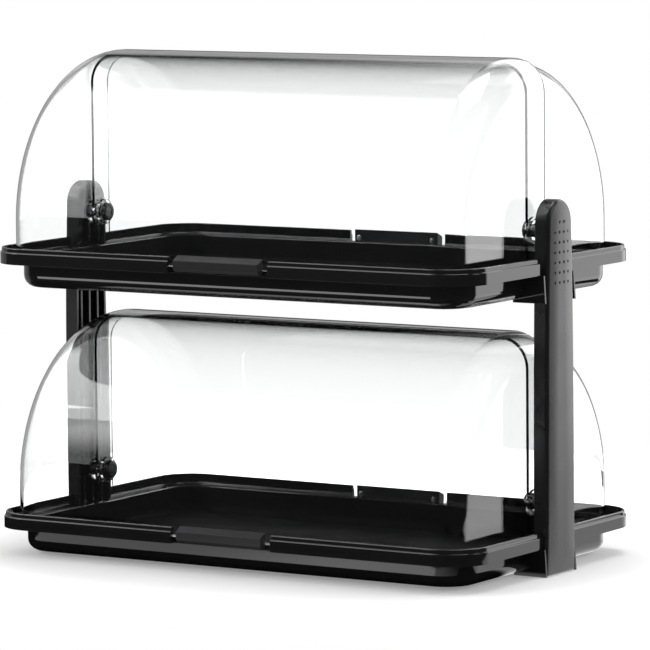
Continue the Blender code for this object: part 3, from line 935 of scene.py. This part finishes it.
@dataclass
class Lid:
    """Half of a roll-top cover: a quarter drum with rounded ends over straight sides.

    Attributes:
        tier: the tray that it covers.
        face: front or rear; the rear one is the smaller and runs inside the front one.
        pivot: height of the axis that it turns on.
    """

    tier: Tier
    face: Face
    pivot: float
    outer_radius: float = 0.1670
    outer_half: float = 0.2597
    wall: float = 0.0030
    gap: float = 0.0010
    shoulder: float = 0.0330
    depth: float = 0.0346
    overlap: float = 0.0150
    mouth_corner: float = 0.0150
    boss_radius: float = 0.0130
    outer_boss: float = 0.0057
    inner_boss: float = 0.0030
    bore: float = 0.0043
    screw_hole: float = 0.0018
    screw_x: float = 0.0420
    over: float = 0.0040
    edge_break: float = 0.5 * MM
    arc_steps: int = 96
    shoulder_steps: int = 12
    boss_steps: int = 48
    bore_steps: int = 32
    hole_steps: int = 16

    @property
    def name(self) -> str:
        """The start of the names of the lid and its grip."""
        return f"{self.tier.value}_{self.face.word}"

    @property
    def shift(self) -> float:
        """How much smaller than the outer lid this one is."""
        return self.wall + self.gap if self.face is Face.REAR else 0.0

    @property
    def radius(self) -> float:
        """The lid's outer radius."""
        return self.outer_radius - self.shift

    @property
    def half(self) -> float:
        """Half of the lid's length."""
        return self.outer_half - self.shift

    @property
    def body(self) -> str:
        """The body that the lid and its grip ride on."""
        return f"{self.name}_lid_body"

    def drum(self, draw: float, extra: float) -> Object:
        """Returns the lid's full form.

        Args:
            draw: how far it is drawn in from the outer skin.
            extra: how much further down it goes than the lid's edge.

        Returns:
            The solid.
        """
        half, radius = self.half - draw, self.radius - draw
        shoulder = self.shoulder - self.shift - draw
        arc = list(quarter(self.shoulder_steps))
        profile = [(-half + shoulder * (1 - c), radius - shoulder * (1 - s)) for s, c in arc]
        profile += [(half - shoulder * (1 - s), radius - shoulder * (1 - c)) for s, c in arc]
        low = self.pivot - self.depth - extra
        rings = []
        for x, reach in profile:
            ring = [(x, reach, low)]
            for i in range(self.arc_steps + 1):
                angle = math.pi * i / self.arc_steps
                ring.append((x, reach * math.cos(angle), self.pivot + reach * math.sin(angle)))
            rings.append(ring + [(x, -reach, low)])
        return loft(f"{self.name}_lid_shell", rings)

    def outline(self) -> list[Pair]:
        """Returns the lid's side outline: open at the mouth past the pivot, rounded below it."""
        far = self.outer_radius + self.over
        points = [(self.overlap, far)]
        for sine, cosine in quarter(self.shoulder_steps):
            points.append((self.overlap - self.mouth_corner * (1 - cosine),
                           -self.depth + self.mouth_corner * (1 - sine)))
        points += [(-far, -self.depth), (-far, far)]
        return [(-self.face.sign * y, self.pivot + z) for y, z in points]

    def bosses(self, lid: Object) -> None:
        """Adds the round boss and bore at each end.

        Args:
            lid: the shell so far.
        """
        inner = self.face is Face.REAR
        boss = self.inner_boss if inner else self.outer_boss
        for side in Side:
            start = self.half - self.wall - boss if inner else self.half - self.wall / 2
            combine(lid, rod((side.sign * start, 0, self.pivot), (side.sign, 0, 0), boss + self.wall / 2,
                             self.boss_radius, self.boss_steps), "UNION")
            start = self.half - self.wall - boss - self.over
            combine(lid, rod((side.sign * start, 0, self.pivot), (side.sign, 0, 0),
                             self.wall + 2 * boss + 2 * self.over, self.bore, self.bore_steps), "DIFFERENCE")

    def build(self, screw_z: float) -> None:
        """Builds the lid and dresses it.

        Args:
            screw_z: height of the grip's screws.
        """
        lid = self.drum(0.0, self.over)
        far = self.half + self.over
        combine(lid, prism(self.outline(), -far, far, 0), "INTERSECT")
        combine(lid, self.drum(self.wall, 2 * self.over), "DIFFERENCE")
        self.bosses(lid)
        inside = self.face.sign * (self.radius - self.wall - self.over)
        for side in Side:
            start = (side.sign * self.screw_x, inside, screw_z)
            combine(lid, rod(start, (0, self.face.sign, 0), self.wall + 2 * self.over, self.screw_hole,
                             self.hole_steps), "DIFFERENCE")
        soften(lid, self.edge_break)
        dress(lid, LID_ACRYLIC, self.body, f"{self.name}_lid")


@dataclass
class Grip:
    """The handle on a lid's lower edge, with the two screws that hold it from inside.

    Attributes:
        lid: the lid that carries it.
        base: height of the tray's underside.
        head_shares: radii of the recess's floor and mouth, the crown and the brow, as shares of the
            screw head's.
    """

    lid: Lid
    base: float
    half: float = 0.0495
    proud: float = 0.17645
    top: float = 0.0425
    slope: float = 0.0049
    front: float = 0.0075
    undercut_height: float = 0.0036
    undercut_depth: float = 0.0030
    seat: float = 0.0003
    screw_radius: float = 0.0015
    head_radius: float = 0.0030
    head: float = 0.0016
    head_shares: tuple[float, ...] = (0.22, 0.26, 0.7, 0.9)
    tip_share: float = 0.4
    bite: float = 0.0055
    edge_break: float = 0.7 * MM
    edge_facets: int = 3
    screw_steps: int = 24

    @property
    def screw_z(self) -> float:
        """Height of the screws."""
        return self.base + self.top - self.slope - self.front / 2

    def outline(self) -> list[Pair]:
        """Returns the grip's section in Y and Z."""
        back = self.lid.radius + self.seat
        brow = self.top - self.slope
        chin = brow - self.front
        bottom = chin - self.undercut_height
        points = ((back, self.top), (self.proud, brow), (self.proud, chin),
                  (self.proud - self.undercut_depth, bottom), (back, bottom))
        return [(self.lid.face.sign * y, self.base + z) for y, z in points]

    def screws(self, name: str) -> None:
        """Sets the two pan-head screws.

        Args:
            name: the start of the nodes' names.
        """
        shank = self.lid.wall + self.seat + self.bite
        wide, thin, far, edge = self.head_radius, self.screw_radius, -self.head, self.head / 3
        floor, mouth, crown, brow = (wide * share for share in self.head_shares)
        profile = [(far + edge, 0), (far + edge, floor), (far, mouth), (far, crown), (far + edge / 3, brow),
                   (far + edge, wide), (0, wide), (0, thin), (shank - thin, thin),
                   (shank, thin * self.tip_share), (shank, 0)]
        form = turned("screw_form", profile, self.screw_steps)
        form.data.transform(Matrix.Rotation(self.lid.face.sign * math.pi / 2, 4, "Z"))
        centre = (0, self.lid.face.sign * (self.lid.radius - self.lid.wall - self.seat), self.screw_z)
        made = Repeat("screw_pair").grow(
            f"{name}_handle_screws", form, PLATED_STEEL, Across=2, Up=1, Pitch_Across=2 * self.lid.screw_x,
            Centre=centre)
        dress(made, PLATED_STEEL, self.lid.body, *(f"{name}_{side.word}_handle_screw" for side in Side))

    def build(self) -> None:
        """Builds the grip and its screws and dresses them."""
        name = self.lid.name
        grip = prism(self.outline(), -self.half, self.half, 0)
        grip.name = f"{name}_grip"
        for side in Side:
            start = (side.sign * self.lid.screw_x, self.lid.face.sign * self.lid.radius, self.screw_z)
            combine(grip, rod(start, (0, self.lid.face.sign, 0), self.bite + self.seat, self.lid.screw_hole,
                              self.lid.hole_steps), "DIFFERENCE")
        soften(grip, self.edge_break, self.edge_facets)
        dress(grip, GRIP_PLASTIC, self.lid.body, f"{name}_handle")
        self.screws(name)


# Uprights


@dataclass
class Upright:
    """A moulded channel that joins the two trays at one end, open towards the trays.

    Attributes:
        side: the end that it stands at.
        inner_x: distance of its open edge from the middle.
        top: height of its top.
        pivots: heights of the two axes.
        shelves: for each shelf, its bottom and top.
    """

    side: Side
    inner_x: float
    top: float
    pivots: Pair
    shelves: tuple[Pair, Pair]
    depth: float = 0.0165
    width: float = 0.0550
    top_radius: float = 0.0230
    stand: float = 0.0004
    edge: float = 0.0035
    crown: float = 0.0011
    crown_inset: float = 0.0205
    flange: float = 0.0030
    web: float = 0.0030
    rib: float = 0.0030
    rib_recess: float = 0.0020
    rib_pitch: float = 0.0143
    rib_room: float = 0.0140
    rib_start: float = 0.0303
    rib_count: int = 3
    boss_radius: float = 0.0095
    pin_seat: float = 0.0113
    pin_bore: float = 0.0043
    taper_power: float = 3.2
    pit_radius: float = 0.0015
    pit_depth: float = 0.0010
    pit_across: float = 0.0084
    pit_down: float = 0.0098
    pit_rows: int = 7
    pit_columns: int = 4
    pit_above_pivot: float = 0.0095
    pit_ball: float = 1.15
    pit_crown: float = 0.25
    pit_facets: tuple[int, int] = (14, 9)
    over: float = 0.0040
    edge_break: float = 0.4 * MM
    smooth_angle: float = math.radians(32)
    side_steps: int = 16
    top_steps: int = 40
    edge_steps: int = 6
    crown_steps: int = 7

    # The turn that stands a grid up in the channel's plane, and the one that lays a form down for it.
    STAND_UP = (math.pi / 2, 0, math.pi / 2)
    LAY_DOWN = Matrix(((0, 1, 0, 0), (0, 0, 1, 0), (1, 0, 0, 0), (0, 0, 0, 1)))

    @property
    def outer_x(self) -> float:
        """Distance of the outer face from the middle."""
        return self.inner_x + self.depth

    def half_width(self, z: float) -> float:
        """Returns half of the upright's width at a height."""
        centre = self.top - self.top_radius
        return self.width / 2 - (self.width / 2 - self.top_radius) * (z / centre) ** self.taper_power

    def arch(self, inset: float, x: float) -> list[Point]:
        """Returns the upright's outline at one X: tapered sides and a round top.

        Args:
            inset: how far it is drawn in.
            x: distance from the middle.

        Returns:
            The outline's points.
        """
        centre = self.top - self.top_radius
        bottom = self.stand + inset
        right = []
        for i in range(self.side_steps):
            z = bottom + (centre - bottom) * i / self.side_steps
            right.append((self.side.sign * x, self.half_width(z) - inset, z))
        radius = self.top_radius - inset
        angles = [math.pi * i / self.top_steps for i in range(self.top_steps + 1)]
        cap = [(self.side.sign * x, radius * math.cos(a), centre + radius * math.sin(a)) for a in angles]
        left = [(px, -py, pz) for px, py, pz in reversed(right)]
        return right + cap + left

    def channel(self, name: str) -> Object:
        """Returns the crowned, hollow channel.

        Args:
            name: the object's name.

        Returns:
            The channel.
        """
        crown_x = self.outer_x - self.crown
        rings = [self.arch(0, self.inner_x)]
        for sine, cosine in quarter(self.edge_steps):
            rings.append(self.arch(self.edge * (1 - cosine), crown_x - self.edge * (1 - sine)))
        for i in range(1, self.crown_steps + 1):
            share = i / self.crown_steps
            rise = self.crown * math.sin(math.pi / 2 * share)
            rings.append(self.arch(self.edge + (self.crown_inset - self.edge) * share, crown_x + rise))
        shell = loft(name, rings)
        floor_x = self.outer_x - self.web
        hollow = loft("hollow", [self.arch(self.flange, self.inner_x - self.over),
                                 self.arch(self.flange, floor_x - self.edge),
                                 self.arch(self.flange + self.edge, floor_x)])
        combine(shell, hollow, "DIFFERENCE")
        return shell

    def ribs(self, shell: Object) -> None:
        """Joins the shelves and vertical ribs to the channel.

        Args:
            shell: the channel so far.
        """
        web_x = self.side.sign * (self.outer_x - self.web / 2)
        face_x = self.side.sign * (self.inner_x + self.rib_recess)
        for low, high in self.shelves:
            half = self.half_width(high) - self.flange / 2
            combine(shell, box((face_x, -half, low), (web_x, half, high)), "UNION")
        spans = (((self.shelves[0][0] + self.shelves[0][1]) / 2, self.shelves[1][0] - self.rib_room),
                 (self.shelves[1][1] + self.rib_start, self.top - self.top_radius))
        for low, high in spans:
            form = box((face_x, -self.rib / 2, low), (web_x, self.rib / 2, high))
            form.data.transform(self.LAY_DOWN)
            ribs = Repeat("channel_ribs").grow("ribs", form, UPRIGHT_PLASTIC, Across=self.rib_count, Up=1,
                                               Pitch_Across=self.rib_pitch, Turn=self.STAND_UP)
            combine(shell, ribs, "UNION")

    def pits(self) -> Object:
        """Returns one tool with a ball for each small pit on the outer face.

        Returns:
            The tool.
        """
        work = bmesh.new()
        ball = self.pit_radius * self.pit_ball
        around, down = self.pit_facets
        bmesh.ops.create_uvsphere(work, u_segments=around, v_segments=down, radius=ball)
        form = place_object("ball", mesh_of(work, "ball"))
        top_row = max(self.pivots) + self.pit_above_pivot
        middle = top_row - self.pit_down * (self.pit_rows - 1) / 2
        x = self.side.sign * (self.outer_x - self.crown * self.pit_crown + ball - self.pit_depth)
        return Repeat("grip_pits", trim_top=True).grow(
            "pits", form, UPRIGHT_PLASTIC, Across=self.pit_columns, Up=self.pit_rows,
            Pitch_Across=self.pit_across, Pitch_Up=self.pit_down, Centre=(x, 0, middle),
            Turn=self.STAND_UP)

    def build(self) -> None:
        """Builds the upright and dresses it."""
        name = f"{self.side.word}_upright"
        shell = self.channel(f"{name}_channel")
        self.ribs(shell)
        length, outward = self.depth - self.web / 2, (self.side.sign, 0, 0)
        for z in self.pivots:
            start = (self.side.sign * self.inner_x, 0, z)
            combine(shell, rod(start, outward, length, self.boss_radius), "UNION")
        for z in self.pivots:
            start = (self.side.sign * (self.inner_x - self.over), 0, z)
            combine(shell, rod(start, outward, self.over + self.pin_seat, self.pin_bore), "DIFFERENCE")
        soften(shell, self.edge_break)
        combine(shell, self.pits(), "DIFFERENCE")
        shade(shell, self.smooth_angle)
        dress(shell, UPRIGHT_PLASTIC, "root", name)


# Small hardware


@dataclass
class Pivots:
    """The pin, washer and knob at each end of a tier's axis.

    Attributes:
        tier: the tier that they belong to.
        height: height of the axis.
    """

    tier: Tier
    height: float
    pin_radius: float = 0.0040
    washer_groove: float = 0.0008
    knob_round: float = 0.0012
    bore: float = 0.0043
    knob_seat: float = 0.0025
    knob_dish: float = 0.55
    cone: float = 0.5 * MM
    steps: int = 48
    round_steps: int = 5

    def set(self, item: Object, side: Side, finish: Finish, word: str) -> None:
        """Turns a piece to its end, lifts it to the axis and dresses it.

        Args:
            item: the turned piece, made for the right end.
            side: the end that it goes to.
            finish: its finish.
            word: the last word of its node's name.
        """
        if side is Side.LEFT:
            item.data.transform(Matrix.Rotation(math.pi, 4, "Z"))
        item.data.transform(Matrix.Translation((0, 0, self.height)))
        smooth(item)
        dress(item, finish, "root", f"{self.tier.value}_{side.word}_pivot_{word}")

    def build(self) -> None:
        """Builds the six pieces from the sizes of the nodes that they stand for."""
        right = f"{self.tier.value}_{Side.RIGHT.word}_pivot"
        (pin_a, pin_b), (washer_a, washer_b), (knob_a, knob_b) = (
            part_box(f"{right}_{word}") for word in ("pin", "washer", "knob"))
        washer_r, knob_r = (washer_b.z - washer_a.z) / 2, (knob_b.z - knob_a.z) / 2
        middle, groove = (washer_a.x + washer_b.x) / 2, self.washer_groove
        pin_r, cone, dish = self.pin_radius, self.cone, knob_r * self.knob_dish
        for side in Side:
            name = f"{self.tier.value}_{side.word}"
            pin = turned(f"{name}_pivot_shaft", [
                (pin_a.x, 0), (pin_a.x, pin_r - cone), (pin_a.x + cone, pin_r),
                (pin_b.x - cone, pin_r), (pin_b.x, pin_r - cone), (pin_b.x, 0)], self.steps)
            washer = turned(f"{name}_pivot_spacer", [
                (washer_a.x, self.bore), (washer_a.x, washer_r - cone), (washer_a.x + cone, washer_r),
                (middle - groove, washer_r), (middle, washer_r - groove), (middle + groove, washer_r),
                (washer_b.x - cone, washer_r), (washer_b.x, washer_r - cone), (washer_b.x, self.bore)],
                self.steps, ring=True)
            arc = [(knob_a.x + self.knob_round * (1 - s), knob_r - self.knob_round * (1 - c))
                   for s, c in quarter(self.round_steps)]
            knob = turned(f"{name}_pivot_cap", [
                (knob_a.x + cone, 0), (knob_a.x + cone, dish - cone), (knob_a.x, dish), *reversed(arc),
                (knob_b.x, knob_r), (knob_b.x, self.bore), (knob_b.x - self.knob_seat, self.bore),
                (knob_b.x - self.knob_seat, 0)], self.steps)
            self.set(pin, side, PLATED_STEEL, "pin")
            self.set(washer, side, PIVOT_PLASTIC, "washer")
            self.set(knob, side, PIVOT_PLASTIC, "knob")


@dataclass
class Fasteners:
    """The tie screws under the trays' tongues and the feet under the lower tray.

    Attributes:
        tie_shares: radii of the shank and of the recess's floor and mouth, as shares of the head's.
    """

    tie_shares: Point = (0.54, 0.25, 0.3)
    tie_head: float = 2.6 * MM
    tie_edge: float = 0.5 * MM
    tie_steps: int = 28
    foot_round: float = 0.0008
    foot_steps: int = 40
    round_steps: int = 4

    def tie_screws(self, tier: Tier) -> None:
        """Sets the two tie screws of a tier.

        Args:
            tier: the tier.
        """
        nodes = [f"{tier.value}_{side.word}_tie_screw" for side in Side]
        low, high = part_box(nodes[1])
        radius = (high.y - low.y) / 2
        shank, floor, mouth = (radius * share for share in self.tie_shares)
        edge, head, length = self.tie_edge, self.tie_head, high.z - low.z
        profile = [(edge, 0), (edge, floor), (0, mouth), (0, radius - edge), (edge, radius), (head, radius),
                   (head, shank), (length - shank / 2, shank), (length, shank / 2), (length, 0)]
        form = turned("tie_form", profile, self.tie_steps)
        aim(form, (0, 0, 0), (0, 0, 1))
        made = Repeat("tie_pair").grow(f"{tier.value}_tie_screws", form, PLATED_STEEL, Across=2, Up=1,
                                       Pitch_Across=low.x + high.x, Centre=(0, 0, low.z))
        dress(made, PLATED_STEEL, "root", *nodes)

    def feet(self) -> None:
        """Sets the four feet."""
        nodes = [f"{face.word}_{side.word}_foot" for face in Face for side in Side]
        low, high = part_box("rear_right_foot")
        radius, height, round_ = (high.x - low.x) / 2, high.z - low.z, self.foot_round
        arc = [(round_ * (1 - s), radius - round_ * (1 - c)) for s, c in quarter(self.round_steps)]
        form = turned("foot_form", [(0, 0), *reversed(arc), (height, radius), (height, 0)], self.foot_steps)
        aim(form, (0, 0, 0), (0, 0, 1))
        made = Repeat("foot_grid").grow("rubber_feet", form, FOOT_RUBBER, Across=2, Up=2,
                                        Pitch_Across=low.x + high.x, Pitch_Up=low.y + high.y,
                                        Centre=(0, 0, low.z))
        dress(made, FOOT_RUBBER, "root", *nodes)

    def build(self) -> None:
        """Builds every fastener and foot."""
        for tier in Tier:
            self.tie_screws(tier)
        self.feet()


# Studio


@dataclass(frozen=True)
class Panel:
    """A light panel that shows only as a reflection, in the surroundings or on the floor.

    Attributes:
        across: its middle, half width and soft edge, along the compass angle from +Y towards +X in
            degrees, or along X on the floor.
        upward: the same along the angle above the horizon in degrees, or along Y on the floor.
        level: its brightness, where 1 is white.
    """

    across: tuple[float, float, float]
    upward: tuple[float, float, float]
    level: float


@dataclass(frozen=True)
class Lamp:
    """A soft rectangular lamp that faces the display.

    Attributes:
        name: the lamp's name.
        at: where it hangs.
        size: its width and height.
        watts: its power.
    """

    name: str
    at: Point
    size: Pair
    watts: float


@dataclass
class Studio:
    """The floor, the lamps, the surroundings and the camera.

    Attributes:
        position, right, up, forward: the camera's place and axes.
        focal_pixels: its focal length in the photograph's pixels.
        image_pixels: the photograph's width.
        sensor, reach: the camera's sensor width in millimetres and how far it sees.
        lamps, aim_at: the lamps and the point that they face.
        floor_half, floor_back: half of the floor's width and depth, and how far back its middle is.
        floor_shade, floor_rough: the floor's grey level and roughness.
        floor_fill, fill_full: how much white is added to the floor under the display, and far from
            it; the smaller amount under the display paints shade on the floor round it.
        fill_half: half widths of the oval of painted shade, in which that white grows.
        fill_span: where it starts and ends growing, as shares of the oval.
        seen_level, clear_level: the background's level where it is looked at, and through clear walls.
        room_level, haze_level: the level that mirror images and matt surfaces get from the rest of the room.
        panels, floor_panels: what shines in mirror images, in the room and on the floor.
    """

    position: Point = (2.550204, -4.022847, 0.732771)
    right: Point = (0.84642668, 0.53243892, -0.00840643)
    up: Point = (-0.04879147, 0.0932654, 0.99444505)
    forward: Point = (-0.53026528, 0.84131466, -0.1049208)
    focal_pixels: float = 4778.979
    image_pixels: float = 650.0
    sensor: float = 36.0
    reach: float = 100.0
    lamps: tuple[Lamp, ...] = (
        Lamp("top_softbox", (0.2, 0.3, 2.2), (1.4, 1.0), 20),
        Lamp("left_softbox", (-2.0, -1.4, 1.3), (0.5, 1.2), 9),
        Lamp("right_softbox", (2.2, 0.6, 1.4), (0.8, 1.2), 10),
    )
    aim_at: Point = (0, 0, 0.2)
    floor_half: Pair = (0.62, 0.615)
    floor_back: float = 0.185
    # Painted shade: the floor gets less added white under the display than far from it.
    floor_fill: float = 0.25
    fill_full: float = 1.1
    fill_half: Pair = (0.52, 0.42)
    fill_span: Pair = (0.6, 1.1)
    floor_shade: float = 0.8
    floor_rough: float = 0.9
    seen_level: float = 1.0
    clear_level: float = 1.28
    room_level: float = 0.04
    panels: tuple[Panel, ...] = (
        Panel((18.0, 14.0, 11.0), (-6.0, 26.0, 10.0), 2.45),
        Panel((0.0, 26.0, 12.0), (31.0, 7.0, 8.0), 2.2),
        Panel((-112.0, 30.0, 14.0), (44.0, 14.0, 16.0), 3.2),
        Panel((-148.0, 8.0, 4.0), (-18.0, 6.0, 2.0), 4.0),
        Panel((-28.0, 17.0, 5.0), (13.0, 6.0, 4.0), 0.42),
        Panel((-70.0, 26.0, 6.0), (2.0, 26.0, 8.0), 0.36),
        Panel((-9.0, 8.0, 5.0), (-6.0, 18.0, 5.0), 0.5),
    )
    floor_panels: tuple[Panel, ...] = (
        Panel((-0.066, 0.272, 0.016), (-0.244, 0.046, 0.010), 1.6),
        Panel((0.14, 0.060, 0.220), (-0.244, 0.046, 0.010), 1.0),
        Panel((0.345, 0.095, 0.02), (0.28, 0.32, 0.02), 1.35),
        Panel((0.53, 0.07, 0.02), (0.36, 0.26, 0.05), 1.5),
        Panel((0.02, 0.25, 0.05), (0.505, 0.27, 0.05), 0.75),
    )
    haze_level: float = 0.55

    # Counts and levels under this are taken as none.
    NEAR_NONE = 0.5

    def camera(self) -> None:
        """Sets the camera at the photograph's angle."""
        data = bpy.data.cameras.new("camera")
        data.sensor_width = self.sensor
        data.lens = self.focal_pixels / self.image_pixels * self.sensor
        data.clip_end = self.reach
        item = bpy.data.objects.new("camera", data)
        axes = Matrix((self.right, self.up, tuple(-v for v in self.forward))).transposed()
        item.matrix_world = Matrix.Translation(self.position) @ axes.to_4x4()
        bpy.context.scene.collection.objects.link(item)
        bpy.context.scene.camera = item

    def hang(self, lamp: Lamp) -> None:
        """Adds a lamp.

        Args:
            lamp: the lamp.
        """
        data = bpy.data.lights.new(lamp.name, "AREA")
        data.shape = "RECTANGLE"
        data.size, data.size_y = lamp.size
        data.energy = lamp.watts
        item = bpy.data.objects.new(lamp.name, data)
        item.location = lamp.at
        way = Vector(self.aim_at) - Vector(lamp.at)
        item.rotation_euler = way.to_track_quat("-Z", "Y").to_euler()
        bpy.context.scene.collection.objects.link(item)

    def window(self, tree: NodeTree, value: NodeSocket, middle: float, half: float,
               fade: float) -> NodeSocket:
        """Lets a stretch of a value through with soft ends.

        Args:
            tree: the tree that asks.
            value: the value.
            middle: the stretch's middle.
            half: half of its even length.
            fade: how far each end takes to fade out.

        Returns:
            The socket that is 1 in the stretch and 0 away from it.
        """
        off = node(tree, "ShaderNodeMath", {0: value, 1: middle}, operation="SUBTRACT")
        away = node(tree, "ShaderNodeMath", {0: off.outputs[0]}, operation="ABSOLUTE")
        return node(tree, "ShaderNodeMapRange", {
            "Value": away.outputs[0], "From Min": half, "From Max": half + fade,
            "To Min": 1.0, "To Max": 0.0}, interpolation_type="SMOOTHSTEP").outputs[0]

    def seen(self, tree: NodeTree) -> tuple[NodeSocket, NodeSocket]:
        """Tells rays that look at the background from those in a mirror image.

        Args:
            tree: the tree that asks.

        Returns:
            The socket that is 1 for a straight look, and the one that is 1 through a clear piece.
        """
        ray = node(tree, "ShaderNodeLightPath")
        bounced = node(tree, "ShaderNodeMath", {
            0: ray.outputs["Glossy Depth"], 1: ray.outputs["Diffuse Depth"]}, operation="ADD")
        direct = node(tree, "ShaderNodeMath", {
            0: bounced.outputs[0], 1: self.NEAR_NONE}, operation="LESS_THAN")
        through = node(tree, "ShaderNodeMath", {
            0: ray.outputs["Is Transmission Ray"], 1: direct.outputs[0]}, operation="MULTIPLY")
        return ray.outputs["Is Camera Ray"], through.outputs[0]

    def white(self, tree: NodeTree) -> NodeSocket:
        """Gives the background's level: white for a straight look, and more to make up for clear walls.

        Args:
            tree: the tree that asks.

        Returns:
            The socket of the level, 0 for other rays.
        """
        straight, through = self.seen(tree)
        level = node(tree, "ShaderNodeMath", {0: straight, 1: self.seen_level}, operation="MULTIPLY")
        return node(tree, "ShaderNodeMath", {
            0: through, 1: self.clear_level, 2: level.outputs[0]}, operation="MULTIPLY_ADD").outputs[0]

    def glow(self, tree: NodeTree, panels: Sequence[Panel], across: NodeSocket,
             upward: NodeSocket, least: float, unit: float) -> NodeSocket:
        """Adds up panels.

        Args:
            tree: the tree that asks.
            panels: the panels.
            across: the value that runs across them.
            upward: the value that runs up them.
            least: the level away from them.
            unit: what one unit of their sizes is in the values' own.

        Returns:
            The socket of the sum.
        """
        total = least
        for panel in panels:
            sides = self.window(tree, across, *(size * unit for size in panel.across))
            ends = self.window(tree, upward, *(size * unit for size in panel.upward))
            both = node(tree, "ShaderNodeMath", {0: sides, 1: ends}, operation="MULTIPLY")
            total = node(tree, "ShaderNodeMath", {0: both.outputs[0], 1: panel.level, 2: total},
                         operation="MULTIPLY_ADD").outputs[0]
        return total

    def world(self) -> None:
        """Makes the surroundings: white where they are looked at, a dim room with panels in gloss."""
        world = bpy.data.worlds.new("surroundings")
        bpy.context.scene.world = world
        world.use_nodes = True
        tree = world.node_tree
        place = node(tree, "ShaderNodeTexCoord").outputs["Generated"]
        way = node(tree, "ShaderNodeSeparateXYZ", {0: place}).outputs
        turn = node(tree, "ShaderNodeMath", {0: way["X"], 1: way["Y"]}, operation="ARCTAN2").outputs[0]
        rise = node(tree, "ShaderNodeMath", {0: way["Z"]}, operation="ARCSINE").outputs[0]
        room = self.glow(tree, self.panels, turn, rise, self.room_level, math.radians(1))
        white = self.white(tree)
        looked = node(tree, "ShaderNodeMath", {0: white, 1: 0.0}, operation="GREATER_THAN")
        room = node(tree, "ShaderNodeMix", {
            0: node(tree, "ShaderNodeLightPath").outputs["Is Diffuse Ray"], 2: room, 3: self.haze_level},
            data_type="FLOAT").outputs[0]
        level = node(tree, "ShaderNodeMix", {0: looked.outputs[0], 2: room, 3: white}, data_type="FLOAT")
        feed(tree, tree.nodes["Background"], {"Color": (1.0, 1.0, 1.0, 1.0), "Strength": level.outputs[0]})

    def floor(self) -> None:
        """Lays the pale floor, filled up to white where it is looked at, mostly far from the display."""
        work = bmesh.new()
        half_x, half_y = self.floor_half
        work.faces.new([work.verts.new((x * half_x, self.floor_back + y * half_y, 0))
                        for x, y in ((-1, -1), (1, -1), (1, 1), (-1, 1))])
        item = place_object("floor", mesh_of(work, "floor"))
        look = bpy.data.materials.new("paper_white_matt")
        look.use_nodes = True
        tree = look.node_tree
        shader = tree.nodes["Principled BSDF"]
        feed(tree, shader, {
            "Base Color": (self.floor_shade,) * 3 + (1.0,), "Roughness": self.floor_rough,
            "Specular IOR Level": 0.0})
        place = node(tree, "ShaderNodeTexCoord").outputs["Object"]
        fill_x, fill_y = self.fill_half
        flat = node(tree, "ShaderNodeVectorMath", {0: place, 1: (1 / fill_x, 1 / fill_y, 0)},
                    operation="MULTIPLY").outputs["Vector"]
        away = node(tree, "ShaderNodeVectorMath", {0: flat}, operation="LENGTH")
        # Painted shade: the added white is smallest under the display and grows out over an oval, so the
        # floor is painted darker round the display.
        fill_with_painted_shade = node(tree, "ShaderNodeMapRange", {
            "Value": away.outputs["Value"], "From Min": self.fill_span[0], "From Max": self.fill_span[1],
            "To Min": self.floor_fill, "To Max": self.fill_full}, interpolation_type="SMOOTHSTEP")
        spot = node(tree, "ShaderNodeSeparateXYZ", {0: place})
        sheen = self.glow(tree, self.floor_panels, spot.outputs["X"], spot.outputs["Y"], 0.0, 1.0)
        level = node(tree, "ShaderNodeMath", {0: self.white(tree), 1: fill_with_painted_shade.outputs[0]}, operation="MULTIPLY")
        glow = node(tree, "ShaderNodeEmission", {"Strength": level.outputs[0]})
        lit = node(tree, "ShaderNodeAddShader", {0: shader.outputs["BSDF"], 1: glow.outputs["Emission"]})
        mirrored = node(tree, "ShaderNodeEmission", {"Strength": sheen})
        unseen = node(tree, "ShaderNodeMath", {0: self.white(tree), 1: self.NEAR_NONE}, operation="LESS_THAN")
        glossy = node(tree, "ShaderNodeLightPath").outputs["Is Glossy Ray"]
        image = node(tree, "ShaderNodeMath", {0: unseen.outputs[0], 1: glossy}, operation="MULTIPLY")
        both = node(tree, "ShaderNodeMixShader", {
            0: image.outputs[0], 1: lit.outputs["Shader"], 2: mirrored.outputs["Emission"]})
        feed(tree, tree.nodes["Material Output"], {"Surface": both.outputs["Shader"]})
        item.data.materials.append(look)

    def build(self) -> None:
        """Builds the studio."""
        self.camera()
        self.world()
        self.floor()
        for lamp in self.lamps:
            self.hang(lamp)
        bpy.context.scene.view_settings.view_transform = "Standard"


def main() -> None:
    """Builds the display around the frame and sets the studio."""
    logging.basicConfig(level=logging.INFO, format="%(name)s: %(message)s")
    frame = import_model()
    pivots = {}
    for tier in Tier:
        heights = (joint["pos_m"][2] for joint in frame["joints"] if joint["name"].startswith(tier.value))
        pivots[tier] = next(heights)
    for tier in Tier:
        base = pivots[tier] - PIVOT_HEIGHT
        lids = {face: Lid(tier, face, pivots[tier]) for face in Face}
        Tray(tier, base, {face: lid.radius for face, lid in lids.items()}).build()
        for lid in lids.values():
            grip = Grip(lid, base)
            lid.build(grip.screw_z)
            grip.build()
        Pivots(tier, pivots[tier]).build()
    low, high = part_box("right_upright")
    tongues = [pivots[tier] - PIVOT_HEIGHT + Tray.tongue_lift for tier in Tier]
    lower_shelf = tongues[0] + Tray.tongue_height + SHELF_SEAT
    shelves = ((lower_shelf, lower_shelf + SHELF),
               (tongues[1] - SHELF_SEAT - SHELF, tongues[1] - SHELF_SEAT))
    for side in Side:
        Upright(side, low.x, high.z, tuple(pivots.values()), shelves).build()
    Fasteners().build()
    Studio().build()


if __name__ == "__main__":
    main()
